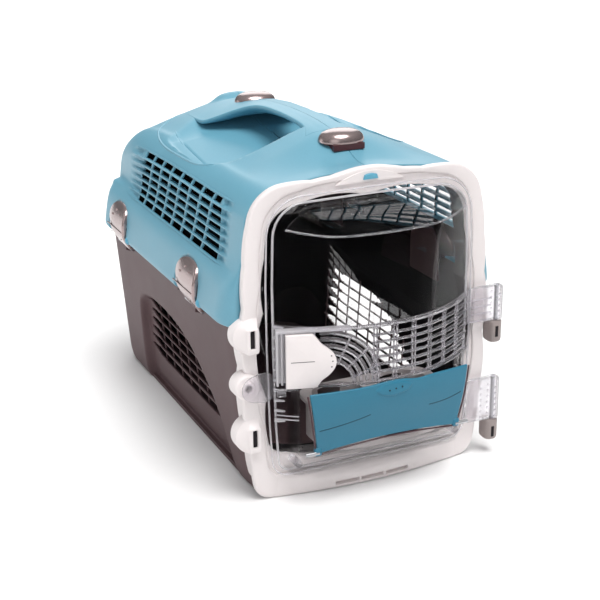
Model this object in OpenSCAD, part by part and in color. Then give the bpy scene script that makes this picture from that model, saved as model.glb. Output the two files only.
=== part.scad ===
// Pet transport carrier: base tray, two winged roof halves, front frame and clear door with a feed hatch.
// +Z is up, the door faces -Y, and the origin is under the middle of the carrier on the floor.

/* [Cabin] */
// Half width of the base tray at the floor
base_floor_w = 123; // [110:1:130]
// Half width of the base tray at the split line
base_top_w = 138; // [132:1:140]
// Height of the split line between the base and the roof
split_z = 188; // [180:1:190]
// Rear end of the base tray
rear_y = 260; // [250:1:262]
// Wall thickness of the moulded shells
wall = 3; // [2.4:0.2:3.4]
// Depth of the arched panels set into the sides of the base
recess = 9; // [5:1:10]

/* [Roof] */
// Height of the crown of the roof in the middle of the handle
crown_z = 358; // [350:1:362]
// Height of the shoulders of the roof
shoulder_z = 323; // [316:1:326]
// Radius of the round scoop that the hand reaches into
scoop_r = 114; // [90:1:116]
// Height of the lowest ring of the scoop's floor
scoop_z = 299; // [292:1:302]
// Half width of the carrying handle
handle_w = 18; // [14:1:22]
// Height of the underside of the carrying handle
handle_z = 336; // [330:1:338]

/* [Side hinges and clips] */
// Distance of the roof hinge pins from the middle plane
pin_x = 146; // [145:1:147]
// Height of the roof hinge pins
pin_z = 193; // [192:0.5:194]
// Radius of the roof hinge pins
pin_r = 4; // [3:0.5:4.5]
// Width of a side clip along the carrier
clip_len = 64; // [50:1:70]
// Places of the clips along the carrier
clip_ys = [-84, 152];
// Clearance between the roof and the domed rim of a clip
notch_gap = 2.5; // [2.5:0.1:3]

/* [Front frame and door] */
// Front face of the front frame
frame_front_y = -200; // [-204:1:-198]
// Rear face of the front frame
frame_back_y = -172; // [-178:1:-172]
// Distance of the door hinge axis from the middle plane
door_hinge_x = 146; // [144:1:147]
// Radius of the door hinge pins
door_pin_r = 3; // [2:0.5:3.5]
// Foremost point of the feed hatch
hatch_front_y = -260; // [-262:1:-256]
// Height of the feed hatch's tilt axis
hatch_axis_z = 64; // [62:1:66]
// Upper edge of the feed hatch
hatch_top_z = 128; // [122:1:130]
// Turn of the door latch out of the door plane, in degrees
latch_turn = 17; // [14:1:20]

/* [Running clearances] */
// Radial clearance of a pin that turns in its bore
run_fit = 0.06; // [0.03:0.01:0.1]
// Gap between separate mouldings
gap = 0.4; // [0.3:0.1:0.6]

/* [Hidden] */

teal = [0.42, 0.66, 0.76];
deep_teal = [0.25, 0.52, 0.64];
taupe = [0.36, 0.30, 0.31];
warm_white = [0.92, 0.90, 0.89];
satin_silver = [0.72, 0.69, 0.69];
dark_red = [0.42, 0.10, 0.13];
clear_plastic = [0.80, 0.80, 0.88, 0.45];
steel = [0.60, 0.60, 0.62];

// Clip pivot, below and inboard of the hinge pin
pivot_x = 143;
pivot_z = 177;
pivot_r = 2;
pin_half = clip_len / 2 + 14;
notch_r0 = 10.5;
hook_r = norm([pin_x - pivot_x, pin_z - pivot_z]) + pin_r + 0.4;
door_hinge_y = -206;
latch_ys = [-137, 85];
scoop_y = 20;
latch_travel = 8;
screw_x = 90;
screw_z = 45;
screw_r = 4;

// Points of an arc in the plane, from angle a0 to a1
function arc(c, r, a0, a1, n = 8) =
    [for (i = [0:n]) let(a = a0 + (a1 - a0) * i / n) c + r * [cos(a), sin(a)]];
// The same points with x turned about, in reverse order, so that a half outline closes into a whole one
function mirrored(p) = [for (i = [len(p) - 1:-1:0]) [-p[i][0], p[i][1]]];
function whole(p) = concat(p, mirrored(p));

// Extrudes an x-z outline along y from y0 to y1
module along_y(y0, y1) {
    translate([0, y1, 0]) rotate([90, 0, 0]) linear_extrude(y1 - y0) children();
}

module y_cylinder(r, y0, y1, fn = 48) {
    translate([0, y1, 0]) rotate([90, 0, 0]) cylinder(r = r, h = y1 - y0, $fn = fn);
}

module block(lo, hi) {
    translate(lo) cube(hi - lo);
}

// ---- base tray ----

// Plan of the tray: square front end, round vertical corners at the rear
module tray_plan(half_w, y1, r) {
    polygon(whole(concat([[half_w, frame_back_y]], arc([half_w - r, y1 - r], r, 0, 90, 6))));
}

// Body of the tray with its walls moved inwards by inset
module tray_solid(inset, z0, z1, slack = 0) {
    hull() {
        translate([0, 0, z0]) linear_extrude(0.1) tray_plan(base_floor_w - inset, rear_y - 8 - inset, 40);
        translate([0, 0, z0 + 22]) linear_extrude(0.1)
            tray_plan(base_floor_w + 3 - inset, rear_y - inset, 42);
        translate([0, 0, z1]) linear_extrude(0.1 + slack)
            tray_plan(base_top_w - inset, rear_y - 2 - inset, 44);
    }
}

// Arched zone on the sides of the tray, seen from the side, grown by g
module arch_zone(g) {
    crown = [[150 + g, -1], [152 + g, 60], [120, 124 + g], [30, 127 + g], [-60, 105 + g],
        [-120 - g, 55], [-142 - g, -1]];
    translate([-200, 0, 0]) rotate([90, 0, 90]) linear_extrude(400) polygon(crown);
}

vent_rows = 5;
vent_cols = 8;
vent_z0 = 38;
vent_pitch_z = 13;

module side_vents() {
    for (row = [0:vent_rows - 1]) {
        y0 = -98 + 6 * row;
        y1 = 142 - 3 * row;
        pitch = (y1 - y0) / vent_cols;
        for (col = [0:vent_cols - 1])
            block([-150, y0 + pitch * col + 2, vent_z0 + vent_pitch_z * row],
                  [150, y0 + pitch * (col + 1) - 2, vent_z0 + vent_pitch_z * row + 7]);
    }
}

// Bracket that carries one roof hinge pin in a half-round saddle and holds the clip's pivot pin
module clip_bracket(y) {
    translate([0, y, 0]) {
        difference() {
            along_y(-8, 8) polygon([[5 - base_top_w, 168], [-pin_x + 0.5, 172], [-pin_x + 0.5, 184],
                [-pin_x - 3.5, pin_z - 4], [-pin_x - 3.5, pin_z], [5 - base_top_w, pin_z]]);
            translate([-pin_x, 0, pin_z]) y_cylinder(pin_r + run_fit, -20, 20);
            translate([-pivot_x, 0, pivot_z]) y_cylinder(pivot_r + 0.02, -20, 20);
        }
        // upstand that closes the tray behind the clip
        translate([-131, 0, 0]) rotate([90, 0, 90]) linear_extrude(2.5)
            polygon(concat([[30, split_z - 20]], arc([0, 202], 30, 0, 180, 12), [[-30, split_z - 20]]));
        block([-136, -clip_len / 2, split_z - 20], [-130, clip_len / 2, split_z - 6]);
    }
}

module base_tray() {
    color(taupe) {
        difference() {
            union() {
                difference() {
                    tray_solid(0, 0, split_z - 0.5);
                    arch_zone(0);
                }
                intersection() {
                    tray_solid(recess, 0, split_z - 0.5);
                    arch_zone(0.5);
                }
            }
            difference() {
                tray_solid(wall, wall + 2, split_z, 5);
                arch_zone(wall);
            }
            tray_solid(recess + wall, wall + 2, split_z, 5);
            side_vents();
        }
        for (side = [0, 1]) mirror([side, 0, 0])
            for (y = clip_ys) clip_bracket(y);
    }
}

// ---- roof ----

// Half outline of the roof at one station: side, rounded shoulder and crown
function roof_half(w, sh, cr, z0) = concat(
    [[w * 0.99, z0], [w, z0 + (sh - z0) * 0.2], [w * 0.975, z0 + (sh - z0) * 0.52]],
    arc([w * 0.66, sh - w * 0.3], w * 0.3, 14, 82, 5),
    [[handle_w * 1.3, cr - 3], [handle_w * 0.4, cr]]);

// Stations along the roof: y, half width, shoulder height, crown height
roof_stations = [
    [-171.6, 137, shoulder_z, shoulder_z + 8],
    [-118, 138, shoulder_z, crown_z - 5],
    [-20, 138, shoulder_z, crown_z],
    [88, 137, shoulder_z - 3, crown_z - 8],
    [165, 134, shoulder_z - 11, crown_z - 22],
    [222, 127, shoulder_z - 28, crown_z - 46],
    [246, 119, shoulder_z - 46, crown_z - 60],
    [259, 105, shoulder_z - 72, crown_z - 92]
];

module roof_solid(inset, z0) {
    hull() for (s = roof_stations)
        along_y(s[0] - inset, s[0] - inset + 0.1)
            polygon(whole(roof_half(s[1] - inset, s[2] - inset, s[3] - inset, z0)));
}

// Round scoop with a floor that rises a little under the handle and a filleted wall, grown by g
module scoop(g) {
    fillet = 30;
    rise = 8;
    translate([0, scoop_y, 0]) rotate_extrude($fn = 96)
        polygon(concat([[0, 400], [0, scoop_z + rise - g], [scoop_r * 0.6, scoop_z - g]],
            arc([scoop_r - fillet, scoop_z + 2 + fillet], fillet + g, -84, 0, 6), [[scoop_r + g, 400]]));
}

// Carrying handle over the scoop; it flares into the roof at both feet
module handle_bar() {
    translate([0, 0, handle_z]) linear_extrude(80)
        polygon(whole([[0, -110], [52, -110], [30, -84], [handle_w, -60], [handle_w - 2, -10],
            [handle_w, 28], [32, 52], [62, 72], [66, 96], [60, 150], [0, 150]]));
}

// Proud lower band of the roof, whose round lower edge lies on the hinge axis
module fender() {
    rear = 212;
    along_y(-171.6, rear) polygon([[-137, split_z + 0.4], [-137, 241], [-140, 241], [-147, 230], [-149, 216],
        [-152.6, 198], [-pin_x - 7, pin_z], [-pin_x, pin_z]]);
    z0 = split_z + 0.4;
    along_y(rear - 25, rear) polygon([[-140, z0], [-140, 241], [-126, 241], [-126, z0]]);
    translate([-pin_x, 0, pin_z]) y_cylinder(7, -171.6, rear);
}

grid_rows = 6;
grid_cols = 8;
grid_z0 = 240;
grid_pitch_z = 9.6;

module side_grid() {
    for (row = [0:grid_rows - 1]) {
        y0 = -148 + 2 * row;
        y1 = 92 - 7 * row;
        pitch = (y1 - y0) / grid_cols;
        for (col = [0:grid_cols - 1])
            block([-160, y0 + pitch * col + 1.6, grid_z0 + grid_pitch_z * row],
                  [-121, y0 + pitch * (col + 1) - 1.6, grid_z0 + grid_pitch_z * row + 5.6]);
    }
}

// Domed notch, round about the hinge axis, so that the roof swings clear of a clip
module clip_notch() {
    r = clip_len / 2 + notch_gap;
    rotate([90, 0, 0]) rotate_extrude($fn = 96)
        polygon(concat([[0, -r]], arc([notch_r0, 0], r, -90, 90, 16), [[0, r]]));
}

// Left half of the roof, cut by the middle plane; the latch pockets differ between the halves
module roof_half_body() {
    difference() {
        intersection() {
            union() {
                difference() {
                    roof_solid(0, split_z + 0.4);
                    roof_solid(wall, split_z - 30);
                }
                intersection() {
                    roof_solid(0, split_z + 0.4);
                    scoop(wall);
                }
                fender();
            }
            block([-170, -300, 100], [-0.15, 300, 400]);
        }
        difference() {
            scoop(0);
            handle_bar();
        }
        side_grid();
        for (y = clip_ys) translate([-pin_x, y, pin_z]) {
            clip_notch();
            y_cylinder(pin_r + 0.02, -pin_half, pin_half);
        }
    }
}

// Room for a top latch: a bed in the left half, and an open notch in the right one
latch_bed_z = crown_z - 18;
module latch_room(i, depth) {
    travel = latch_travel * (i == 0 ? 1 : -1);
    block([-25, latch_ys[i] - 21.5 + min(travel, 0), latch_bed_z - depth],
          [25, latch_ys[i] + 21.5 + max(travel, 0), 400]);
}

module roof_left() {
    color(teal) difference() {
        union() {
            roof_half_body();
            for (i = [0, 1])
                block([-26, latch_ys[i] - 30, latch_bed_z - 12], [-0.15, latch_ys[i] + 30, latch_bed_z]);
        }
        for (i = [0, 1]) latch_room(i, 0);
    }
}

module roof_right() {
    color(teal) difference() {
        mirror([1, 0, 0]) roof_half_body();
        for (i = [0, 1]) latch_room(i, 24);
    }
}

// Two pins on one side, each with a ball at its front end
module hinge_pins(side) {
    color(deep_teal) for (y = clip_ys) translate([side * pin_x, y, pin_z])
        y_cylinder(pin_r, -pin_half, pin_half);
}

// ---- side clips ----

// Section of a clip on the left side: domed plate with a crease, and a bottom edge drawn in
clip_outer = [[-150, 180], [-156, 193], [-157, 203], [-155.6, 215], [-152, 226], [-146.5, 235.5]];
clip_inner = [[-144, 233], [-149, 223], [-152, 213], [-153.2, 203], [-152.4, 194.5], [-147.6, 183.2]];

module clip_body() {
    half = clip_len / 2;
    intersection() {
        along_y(-half, half) polygon(concat(clip_outer, clip_inner));
        translate([-200, 0, 0]) rotate([90, 0, 90]) linear_extrude(100)
            polygon(concat([[half - 14, 178], [half - 1, 190]], arc([0, 203], half, 0, 180, 18),
                [[1 - half, 190], [14 - half, 178]]));
    }
    // hook over the hinge pin, an arc about the clip's pivot
    translate([-pivot_x, half - 8, pivot_z]) rotate([90, 0, 0])
        rotate([0, 0, 84]) rotate_extrude(angle = 32, $fn = 96)
            translate([hook_r, 0]) square([3.4, clip_len - 16]);
    for (y = [-half + 8, 9]) {
        translate([-pivot_x, 0, pivot_z]) difference() {
            union() {
                y_cylinder(4.4, y, y + half - 17);
                block([-7.4, y, 0], [0, y + half - 17, 7]);
            }
            y_cylinder(pivot_r + run_fit, y - 1, y + half);
        }
    }
}

module clip(side, y) {
    color(satin_silver) mirror([side > 0 ? 1 : 0, 0, 0]) translate([0, y, 0]) clip_body();
}

module clip_front_left() { clip(-1, clip_ys[0]); }
module clip_rear_left() { clip(-1, clip_ys[1]); }
module clip_front_right() { clip(1, clip_ys[0]); }
module clip_rear_right() { clip(1, clip_ys[1]); }

module clip_pivot_pins() {
    color(steel) for (side = [-1, 1]) for (y = clip_ys)
        translate([side * pivot_x, y, pivot_z]) y_cylinder(pivot_r, -clip_len / 2 + 7, clip_len / 2 - 7);
}

// ---- top latches ----

// Silver cap: a dome cut from a sphere
module top_latch(i) {
    color(satin_silver) translate([0, latch_ys[i], latch_bed_z]) intersection() {
        translate([0, 0, 18 - 40]) sphere(r = 40, $fn = 64);
        block([-24, -20, 6.1], [24, 20, 30]);
    }
}

module top_slide(i) {
    color(dark_red) translate([0, latch_ys[i], latch_bed_z + 0.1]) linear_extrude(6)
        polygon(whole(concat([[0, -19], [17, -19]], arc([14, 0], 7, -70, 70, 6), [[17, 19], [0, 19]])));
}

module top_latch_front() { top_latch(0); }
module top_slide_front() { top_slide(0); }
module top_latch_rear() { top_latch(1); }
module top_slide_rear() { top_slide(1); }

// ---- front frame ----

frame_half = concat([[0, 0]], arc([108, 20], 20, -90, -4, 6),
    [[131, 40], [134, 70], [136.4, 140], [137.8, 207], [135, 250]],
    arc([90, 286], 40, 0, 84, 7), [[40, 327], [26, 330.5], [11, 333]]);
mouth_half = concat([[0, 26]], arc([86, 44], 18, -90, -5, 5), [[107, 100], [108, 200], [105, 255]],
    arc([70, 270], 34, 0, 88, 6));
// Half outline of the door, moved inwards by g
function door_half(g) = concat([[0, 25 + g]], arc([92, 45], 20 - g, -90, -8, 5),
    [[114 - g, 80], [115.6 - g, 160], [115.6 - g, 230]], arc([74, 276], 40 - g, 0, 86, 6));

module frame_ring() {
    along_y(frame_front_y, frame_back_y) difference() {
        polygon(whole(frame_half));
        polygon(whole(mouth_half));
    }
}

// Bowed sill under the door
module sill() {
    bow = 12;
    chord = 106;
    r = (chord * chord + bow * bow) / (2 * bow);
    intersection() {
        translate([0, frame_front_y - bow + r, 0.6]) cylinder(r = r, h = 20.4, $fn = 240);
        block([1 - chord, frame_front_y - bow - 1, 0], [chord - 1, frame_front_y + 1, 30]);
    }
}

// D-shaped side lug, rounded at the back, with a slot in its flat front face
module side_lug(x0, x1, z0, z1, slot_z) {
    difference() {
        translate([0, 0, z0]) linear_extrude(z1 - z0)
            polygon(concat([[x0, -207]], [[x1, -207], [x1, -186]], arc([x0 + 9, -195], 9, 90, 180, 5)));
        block([x0 + 4, -210, slot_z - 9.5], [x0 + 9, -201, slot_z + 9.5]);
    }
}

// Hinge lug on the right side, with a bore for the door hinge pin
module hinge_lug(z0, z1) {
    difference() {
        union() {
            translate([door_hinge_x, door_hinge_y, z0]) cylinder(r = 7, h = z1 - z0, $fn = 48);
            block([124, -202, z0], [door_hinge_x, -190, z1]);
        }
        translate([door_hinge_x, door_hinge_y, z0 - 1])
            cylinder(r = door_pin_r + run_fit, h = z1 - z0 + 2, $fn = 48);
    }
}

// Half-round strike for the door latch bolt
module latch_strike() {
    difference() {
        union() {
            translate([-134, -200, 128]) rotate([-90, 0, 0]) cylinder(r = 12, h = 12, $fn = 64);
            block([-146, -206, 101], [-124, -190, 146]);
        }
        block([-128, -215, 118], [-120, -203, 134]);
    }
}

module front_frame() {
    color(warm_white) difference() {
        union() {
            frame_ring();
            sill();
            side_lug(-147, -124, 161, 199, 171);
            side_lug(-146, -122.6, 55, 94, 69);
            hinge_lug(129, 154);
            hinge_lug(16, 40.6);
            latch_strike();
        }
        // slots in the sill and the opening for the lock button
        for (x = [-29, 0, 29]) block([x - 13, -220, 4.6], [x + 13, -205, 8]);
        block([-8 - gap, -201, 321 - gap], [8 + gap, -160, 327 + gap]);
    }
}

module frame_lock_button() {
    color(deep_teal) block([-8, frame_front_y - 2.5, 321], [8, frame_back_y - 5, 327]);
}

// ---- door ----

// Bulge of the door seen from above, moved inwards by g
module door_plan(g) {
    n = 12;
    half_w = 110 - g;
    edge = -208;
    bulge = -252 - edge;
    front = [for (i = [-n:n]) [half_w * i / n, edge + g + bulge * (1 - pow(abs(i) / n, 2))]];
    polygon(concat(front, [[half_w, -199], [-half_w, -199]]));
}

// Profile of the door from the side, sloping back at the top and the bottom, moved inwards by g
module door_profile(g) {
    translate([-200, 0, 0]) rotate([90, 0, 90]) linear_extrude(400)
        polygon([[-199, 27 + g], [-214 + g, 27 + g], [-236 + g, 40 + g], [-247 + g, 56], [-253 + g, 80],
            [-253 + g, 190], [-245 + g, 272], [-228 + g, 302 - g], [-208 + g, 314 - g], [-199, 314 - g]]);
}

module door_solid(g) {
    intersection() {
        linear_extrude(400) door_plan(g);
        door_profile(g);
        along_y(-300, -199) polygon(whole(door_half(6 + g)));
    }
}

module in_latch_frame() {
    translate([-80, -231, 0]) rotate([0, 0, -latch_turn]) children();
}

module grille_slots() {
    for (row = [0:5]) for (col = [0:5])
        block([-30 + 22 * col, -270, 137 + 8.4 * row], [-12 + 22 * col, -203, 142 + 8.4 * row]);
}

module hinge_knuckle(z0, z1) {
    difference() {
        union() {
            translate([door_hinge_x, door_hinge_y, z0]) cylinder(r = 7, h = z1 - z0, $fn = 48);
            block([108, -207.6, z0], [door_hinge_x, -202.6, z1]);
        }
        translate([door_hinge_x, door_hinge_y, z0 - 1]) cylinder(r = door_pin_r, h = z1 - z0 + 2, $fn = 48);
    }
}

module door_panel() {
    color(clear_plastic) {
        difference() {
            union() {
                along_y(frame_front_y - 5, frame_front_y - 0.6) polygon(whole(door_half(0)));
                difference() {
                    door_solid(0);
                    block([-200, frame_front_y - 0.6, 0], [200, 0, 400]);
                }
                block([-121, -211, 112], [-100, frame_front_y - 2, 140]);
            }
            difference() {
                door_solid(wall);
                in_latch_frame() block([-34, -2, 120], [44, 10, 192]);
            }
            block([-98, -206, 30], [98, -196, 290]);
            // hatch opening
            block([-88.4, -280, 60], [88.4, -212, hatch_top_z + 1]);
            grille_slots();
            // room in front of the latch bed, and the tunnel of the bolt
            in_latch_frame() block([-30, -40, 129.4], [42, 0, 188]);
            in_latch_frame() block([-44, -6.2, 119.6], [-3, 0, 132]);
            // pocket for the latch spring and the peg that presses it
            in_latch_frame() block([-6, -1, 153.5], [20, 9, 162.5]);
            screws(screw_r + 0.02, 1);
        }
        // hatch ledge with cheeks for the hatch pins
        hatch_ledge();
        hinge_knuckle(154.6, 193);
        hinge_knuckle(41, 90);
    }
}

module hatch_ledge() {
    difference() {
        union() {
            block([-92, -240, 56], [92, -203, 59.6]);
            for (side = [0, 1]) mirror([side, 0, 0]) block([88.6, -250, 56], [92, -203, hatch_top_z]);
        }
        for (side = [0, 1]) mirror([side, 0, 0])
            translate([84, -244, hatch_axis_z]) rotate([0, 90, 0]) cylinder(r = 2 + 0.02, h = 12, $fn = 32);
    }
}

module door_hinge_pins() {
    color(steel) for (z = [[130, 192], [17, 89]])
        translate([door_hinge_x, door_hinge_y, z[0]])
            cylinder(r = door_pin_r - 0.01, h = z[1] - z[0], $fn = 48);
}

// Two screws, or the holes for them, lengthened by extra at both ends
module screws(r, extra) {
    for (x = [-screw_x, screw_x])
        translate([x, extra - 206, screw_z]) rotate([90, 0, 0]) cylinder(r = r, h = 18 + 2 * extra, $fn = 32);
}

module door_screws() {
    color(clear_plastic) screws(screw_r, 0);
}

// ---- door latch ----

module door_latch() {
    color(warm_white) in_latch_frame() {
        translate([0, -0.5, 0]) rotate([90, 0, 0]) linear_extrude(5)
            polygon([[-24, 131], [-24, 186], [0, 184], [9, 172], [25, 158], [25, 154], [12, 142], [4, 131]]);
        block([-36, -5.5, 121], [-24, -0.5, 131.5]);
        block([-24, -5.5, 128.6], [-12, -0.5, 134]);
        // peg behind the plate, which presses the spring
        block([-5, -0.6, 154.5], [1.4, 6.6, 161.5]);
    }
}

spring_turns = 6;
spring_r = 3;
function spring_point(t) = let(a = 360 * spring_turns * t)
    [2 + 16 * t, 4.8 + spring_r * cos(a), 158 + spring_r * sin(a)];
module door_latch_spring() {
    steps = 48;
    sides = 6;
    wire = 0.5;
    rings = [for (i = [0:steps]) let(t = i / steps, c = spring_point(t), a = 360 * spring_turns * t)
        for (k = [0:sides - 1]) let(b = 360 * k / sides)
            c + wire * [sin(b), cos(b) * cos(a), cos(b) * sin(a)]];
    faces = concat(
        [[for (k = [0:sides - 1]) k]],
        [[for (k = [sides - 1:-1:0]) steps * sides + k]],
        [for (i = [0:steps - 1]) for (k = [0:sides - 1])
            let(a = i * sides + k, b = i * sides + (k + 1) % sides)
            each [[a, a + sides, b + sides], [a, b + sides, b]]]);
    color(steel) in_latch_frame() polyhedron(rings, faces);
}

// ---- feed hatch ----

module hatch_plan(inset) {
    n = 10;
    polygon(concat(
        [for (i = [-n:n]) let(t = i / n)
            [(87.6 - inset) * t, -248 + inset + (hatch_front_y + 248) * (1 - t * t)]],
        [[87.6 - inset, -238], [inset - 87.6, -238]]));
}

module feed_hatch() {
    color(deep_teal) difference() {
        union() {
            difference() {
                translate([0, 0, hatch_axis_z + 3.4])
                    linear_extrude(hatch_top_z - hatch_axis_z - 3.4) hatch_plan(0);
                translate([0, 0, hatch_axis_z + 6]) linear_extrude(hatch_top_z) hatch_plan(wall);
            }
            for (x = [-87.6, 75.6]) translate([x, -244, hatch_axis_z]) {
                rotate([0, 90, 0]) cylinder(r = 4, h = 12, $fn = 32);
                block([0, -4, 0], [12, 4, 8]);
            }
        }
        for (x = [-89, 74]) translate([x, -244, hatch_axis_z]) rotate([0, 90, 0])
            cylinder(r = 2 + run_fit, h = 15, $fn = 32);
    }
}

module hatch_pins() {
    color(steel) for (side = [0, 1]) mirror([side, 0, 0])
        translate([77, -244, hatch_axis_z]) rotate([0, 90, 0]) cylinder(r = 2, h = 14.6, $fn = 32);
}

// ---- food dish ----

dish_w = 74;
module food_dish() {
    color(warm_white) difference() {
        union() {
            translate([0, 0, 60.2]) linear_extrude(44) dish_plan(6);
            translate([0, 0, 101]) linear_extrude(4) dish_plan(0);
        }
        for (x = [-36, 36]) translate([x, -205, 64]) rotate_extrude($fn = 64)
            polygon(concat([[0, 0]], arc([18, 8], 8, -90, -8, 4), [[28, 50], [0, 50]]));
    }
}

module dish_plan(inset) {
    r = 22 - inset;
    w = dish_w - inset;
    polygon(whole(concat(arc([w - r, -235 + inset + r], r, -90, 0, 5),
        arc([w - r, -175 - inset - r], r, 0, 90, 5))));
}

module hinge_pins_left() { hinge_pins(-1); }
module hinge_pins_right() { hinge_pins(1); }

base_tray();
front_frame();
frame_lock_button();
roof_left();
roof_right();
hinge_pins_left();
hinge_pins_right();
clip_front_left();
clip_rear_left();
clip_front_right();
clip_rear_right();
clip_pivot_pins();
top_latch_front();
top_slide_front();
top_latch_rear();
top_slide_rear();
door_panel();
door_hinge_pins();
door_latch();
door_latch_spring();
door_screws();
feed_hatch();
hatch_pins();
food_dish();
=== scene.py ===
"""Pet transport carrier: the moulded shells, clear door, clips and finishes, built round the CAD frame.

All sizes below are in millimetres unless a name says otherwise; put() turns them into metres.
+Z is up, the door faces -Y, and the origin is on the floor under the middle of the carrier.
"""
import bpy
import math
import numpy as np
from mathutils import Matrix, Vector


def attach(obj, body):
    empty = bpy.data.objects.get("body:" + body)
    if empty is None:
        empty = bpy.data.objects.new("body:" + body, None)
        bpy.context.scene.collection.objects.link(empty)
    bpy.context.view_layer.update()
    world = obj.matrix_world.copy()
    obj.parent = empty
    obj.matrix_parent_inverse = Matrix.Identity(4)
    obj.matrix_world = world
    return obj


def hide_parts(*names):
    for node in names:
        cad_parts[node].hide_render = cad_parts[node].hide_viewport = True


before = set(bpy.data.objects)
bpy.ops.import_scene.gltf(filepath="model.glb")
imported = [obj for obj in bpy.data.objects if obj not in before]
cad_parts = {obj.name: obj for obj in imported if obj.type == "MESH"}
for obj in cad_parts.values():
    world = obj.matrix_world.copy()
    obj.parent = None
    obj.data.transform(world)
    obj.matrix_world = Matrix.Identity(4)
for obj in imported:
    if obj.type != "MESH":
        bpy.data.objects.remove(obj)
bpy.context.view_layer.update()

MM = 0.001
LEFT, RIGHT = -1, 1

# ---------------------------------------------------------------- curves and lines


def smooth_weights(t, knots):
    """Weights of a smooth curve through values at the knots: cubic pieces whose end slopes are the chords
    between each knot's neighbours. The curve is weights @ values."""
    knots, t = np.asarray(knots, float), np.atleast_1d(np.asarray(t, float))
    n = len(knots)
    before, after = np.maximum(np.arange(n) - 1, 0), np.minimum(np.arange(n) + 1, n - 1)
    eye = np.eye(n)
    slope = (eye[after] - eye[before]) / (knots[after] - knots[before])[:, None]
    i = np.clip(np.searchsorted(knots, t, side="right") - 1, 0, n - 2)
    h = (knots[i + 1] - knots[i])[:, None]
    s = ((np.clip(t, knots[0], knots[-1]) - knots[i])[:, None]) / h
    return ((2 * s**3 - 3 * s**2 + 1) * eye[i] + (s**3 - 2 * s**2 + s) * h * slope[i]
            + (3 * s**2 - 2 * s**3) * eye[i + 1] + (s**3 - s**2) * h * slope[i + 1])


def smooth_curve(t, knots, values):
    """The smooth curve of smooth_weights through the given values."""
    return smooth_weights(t, knots) @ np.asarray(values, float)


def smoothstep(low, high, x):
    """0 below low, 1 above high, and an S-shaped cubic between them."""
    t = np.clip((x - low) / (high - low), 0, 1)
    return t * t * (3 - 2 * t)


def soft_min(a, b, k):
    """The smaller of a and b, with the corner between them rounded over a height of k."""
    h = np.clip(0.5 + 0.5 * (b - a) / k, 0, 1)
    return b + (a - b) * h - k * h * (1 - h)


def stepped(*stops):
    """Line places: each stop is (value, spacing to the next stop); the last stop is a plain value."""
    out = []
    for (a, step), nxt in zip(stops[:-1], stops[1:]):
        b = nxt[0] if isinstance(nxt, tuple) else nxt
        n = max(1, int(round(abs(b - a) / step)))
        out.append(np.linspace(a, b, n, endpoint=False))
    return np.append(np.concatenate(out), stops[-1])


def arc(cx, cz, r, a0, a1, n=14):
    """Points of a circle's arc, from angle a0 to a1 in degrees."""
    a = np.radians(np.linspace(a0, a1, n + 1))
    return np.stack([cx + r * np.cos(a), cz + r * np.sin(a)], 1)


def both_sides(half):
    """A closed outline from its right half, which runs from the bottom of the middle plane to its top."""
    half = np.vstack([np.reshape(p, (-1, 2)) for p in half])
    left = half[::-1] * [-1, 1]
    return np.vstack([half, left])


def radial(outline, centre, angles):
    """Distance of a star-shaped outline from a centre, at each angle in radians."""
    d = np.asarray(outline, float) - centre
    a = np.unwrap(np.arctan2(d[:, 1], d[:, 0]))
    if a[-1] < a[0]:
        a, d = a[::-1], d[::-1]
    a = np.concatenate([a - 2 * np.pi, a, a + 2 * np.pi])
    r = np.tile(np.hypot(d[:, 0], d[:, 1]), 3)
    order = np.argsort(a, kind="stable")
    return np.interp(angles, a[order], r[order])


# ---------------------------------------------------------------- meshes

QUARTER = np.radians([0, 30, 60, 90])


def put(name, points, faces, body, finish, slot, nodes=(), inside=None, crease=38, wall=0, inside_shade=None,
        bevel=0, levels=0):
    """Makes a piece from points in millimetres and faces, turned outwards, riding on a body.
    inside is a point that the faces of an open sheet turn away from; a closed piece needs none."""
    points = np.asarray(points, float).reshape(-1, 3) * MM
    quads = [np.asarray(f, np.int64) for f in (faces if isinstance(faces, list) else [faces]) if len(f)]
    total = 0
    middle = points.mean(0) if inside is None else np.asarray(inside, float) * MM
    for f in quads:
        p = points[f]
        n = sum(np.cross(p[:, k] - p[:, 0], p[:, k + 1] - p[:, 0]) for k in range(1, f.shape[1] - 1))
        total += ((p.mean(1) - middle) * n).sum()
    if total < 0:
        quads = [f[:, ::-1] for f in quads]
    mesh = bpy.data.meshes.new(name)
    loops = np.concatenate([f.ravel() for f in quads])
    sizes = np.concatenate([np.full(len(f), f.shape[1]) for f in quads])
    mesh.vertices.add(len(points))
    mesh.vertices.foreach_set("co", points.astype(np.float32).ravel())
    mesh.loops.add(len(loops))
    mesh.loops.foreach_set("vertex_index", loops.astype(np.int32))
    mesh.polygons.add(len(sizes))
    mesh.polygons.foreach_set("loop_start", np.concatenate([[0], np.cumsum(sizes)[:-1]]).astype(np.int32))
    mesh.polygons.foreach_set("use_smooth", np.ones(len(sizes), bool))
    mesh.update(calc_edges=True)
    mesh.validate()
    mesh.set_sharp_from_angle(angle=math.radians(crease))
    mesh.materials.append(finish)
    obj = bpy.data.objects.new(name, mesh)
    bpy.context.scene.collection.objects.link(obj)
    if wall:
        shell = obj.modifiers.new("wall", "SOLIDIFY")
        shell.thickness, shell.offset = wall * MM, -1
        # the wall's inner faces take the second finish, a near-black one that paints the shade inside the shell
        if inside_shade is not None:
            mesh.materials.append(inside_shade)
            shell.material_offset = 1
    if bevel:
        edge = obj.modifiers.new("edge", "BEVEL")
        edge.width, edge.segments, edge.limit_method = bevel * MM, 2, "ANGLE"
        edge.angle_limit = math.radians(40)
    if levels:
        rounder = obj.modifiers.new("round", "SUBSURF")
        rounder.levels = rounder.render_levels = levels
    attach(obj, body)
    if nodes:
        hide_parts(*nodes)
    return obj


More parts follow.
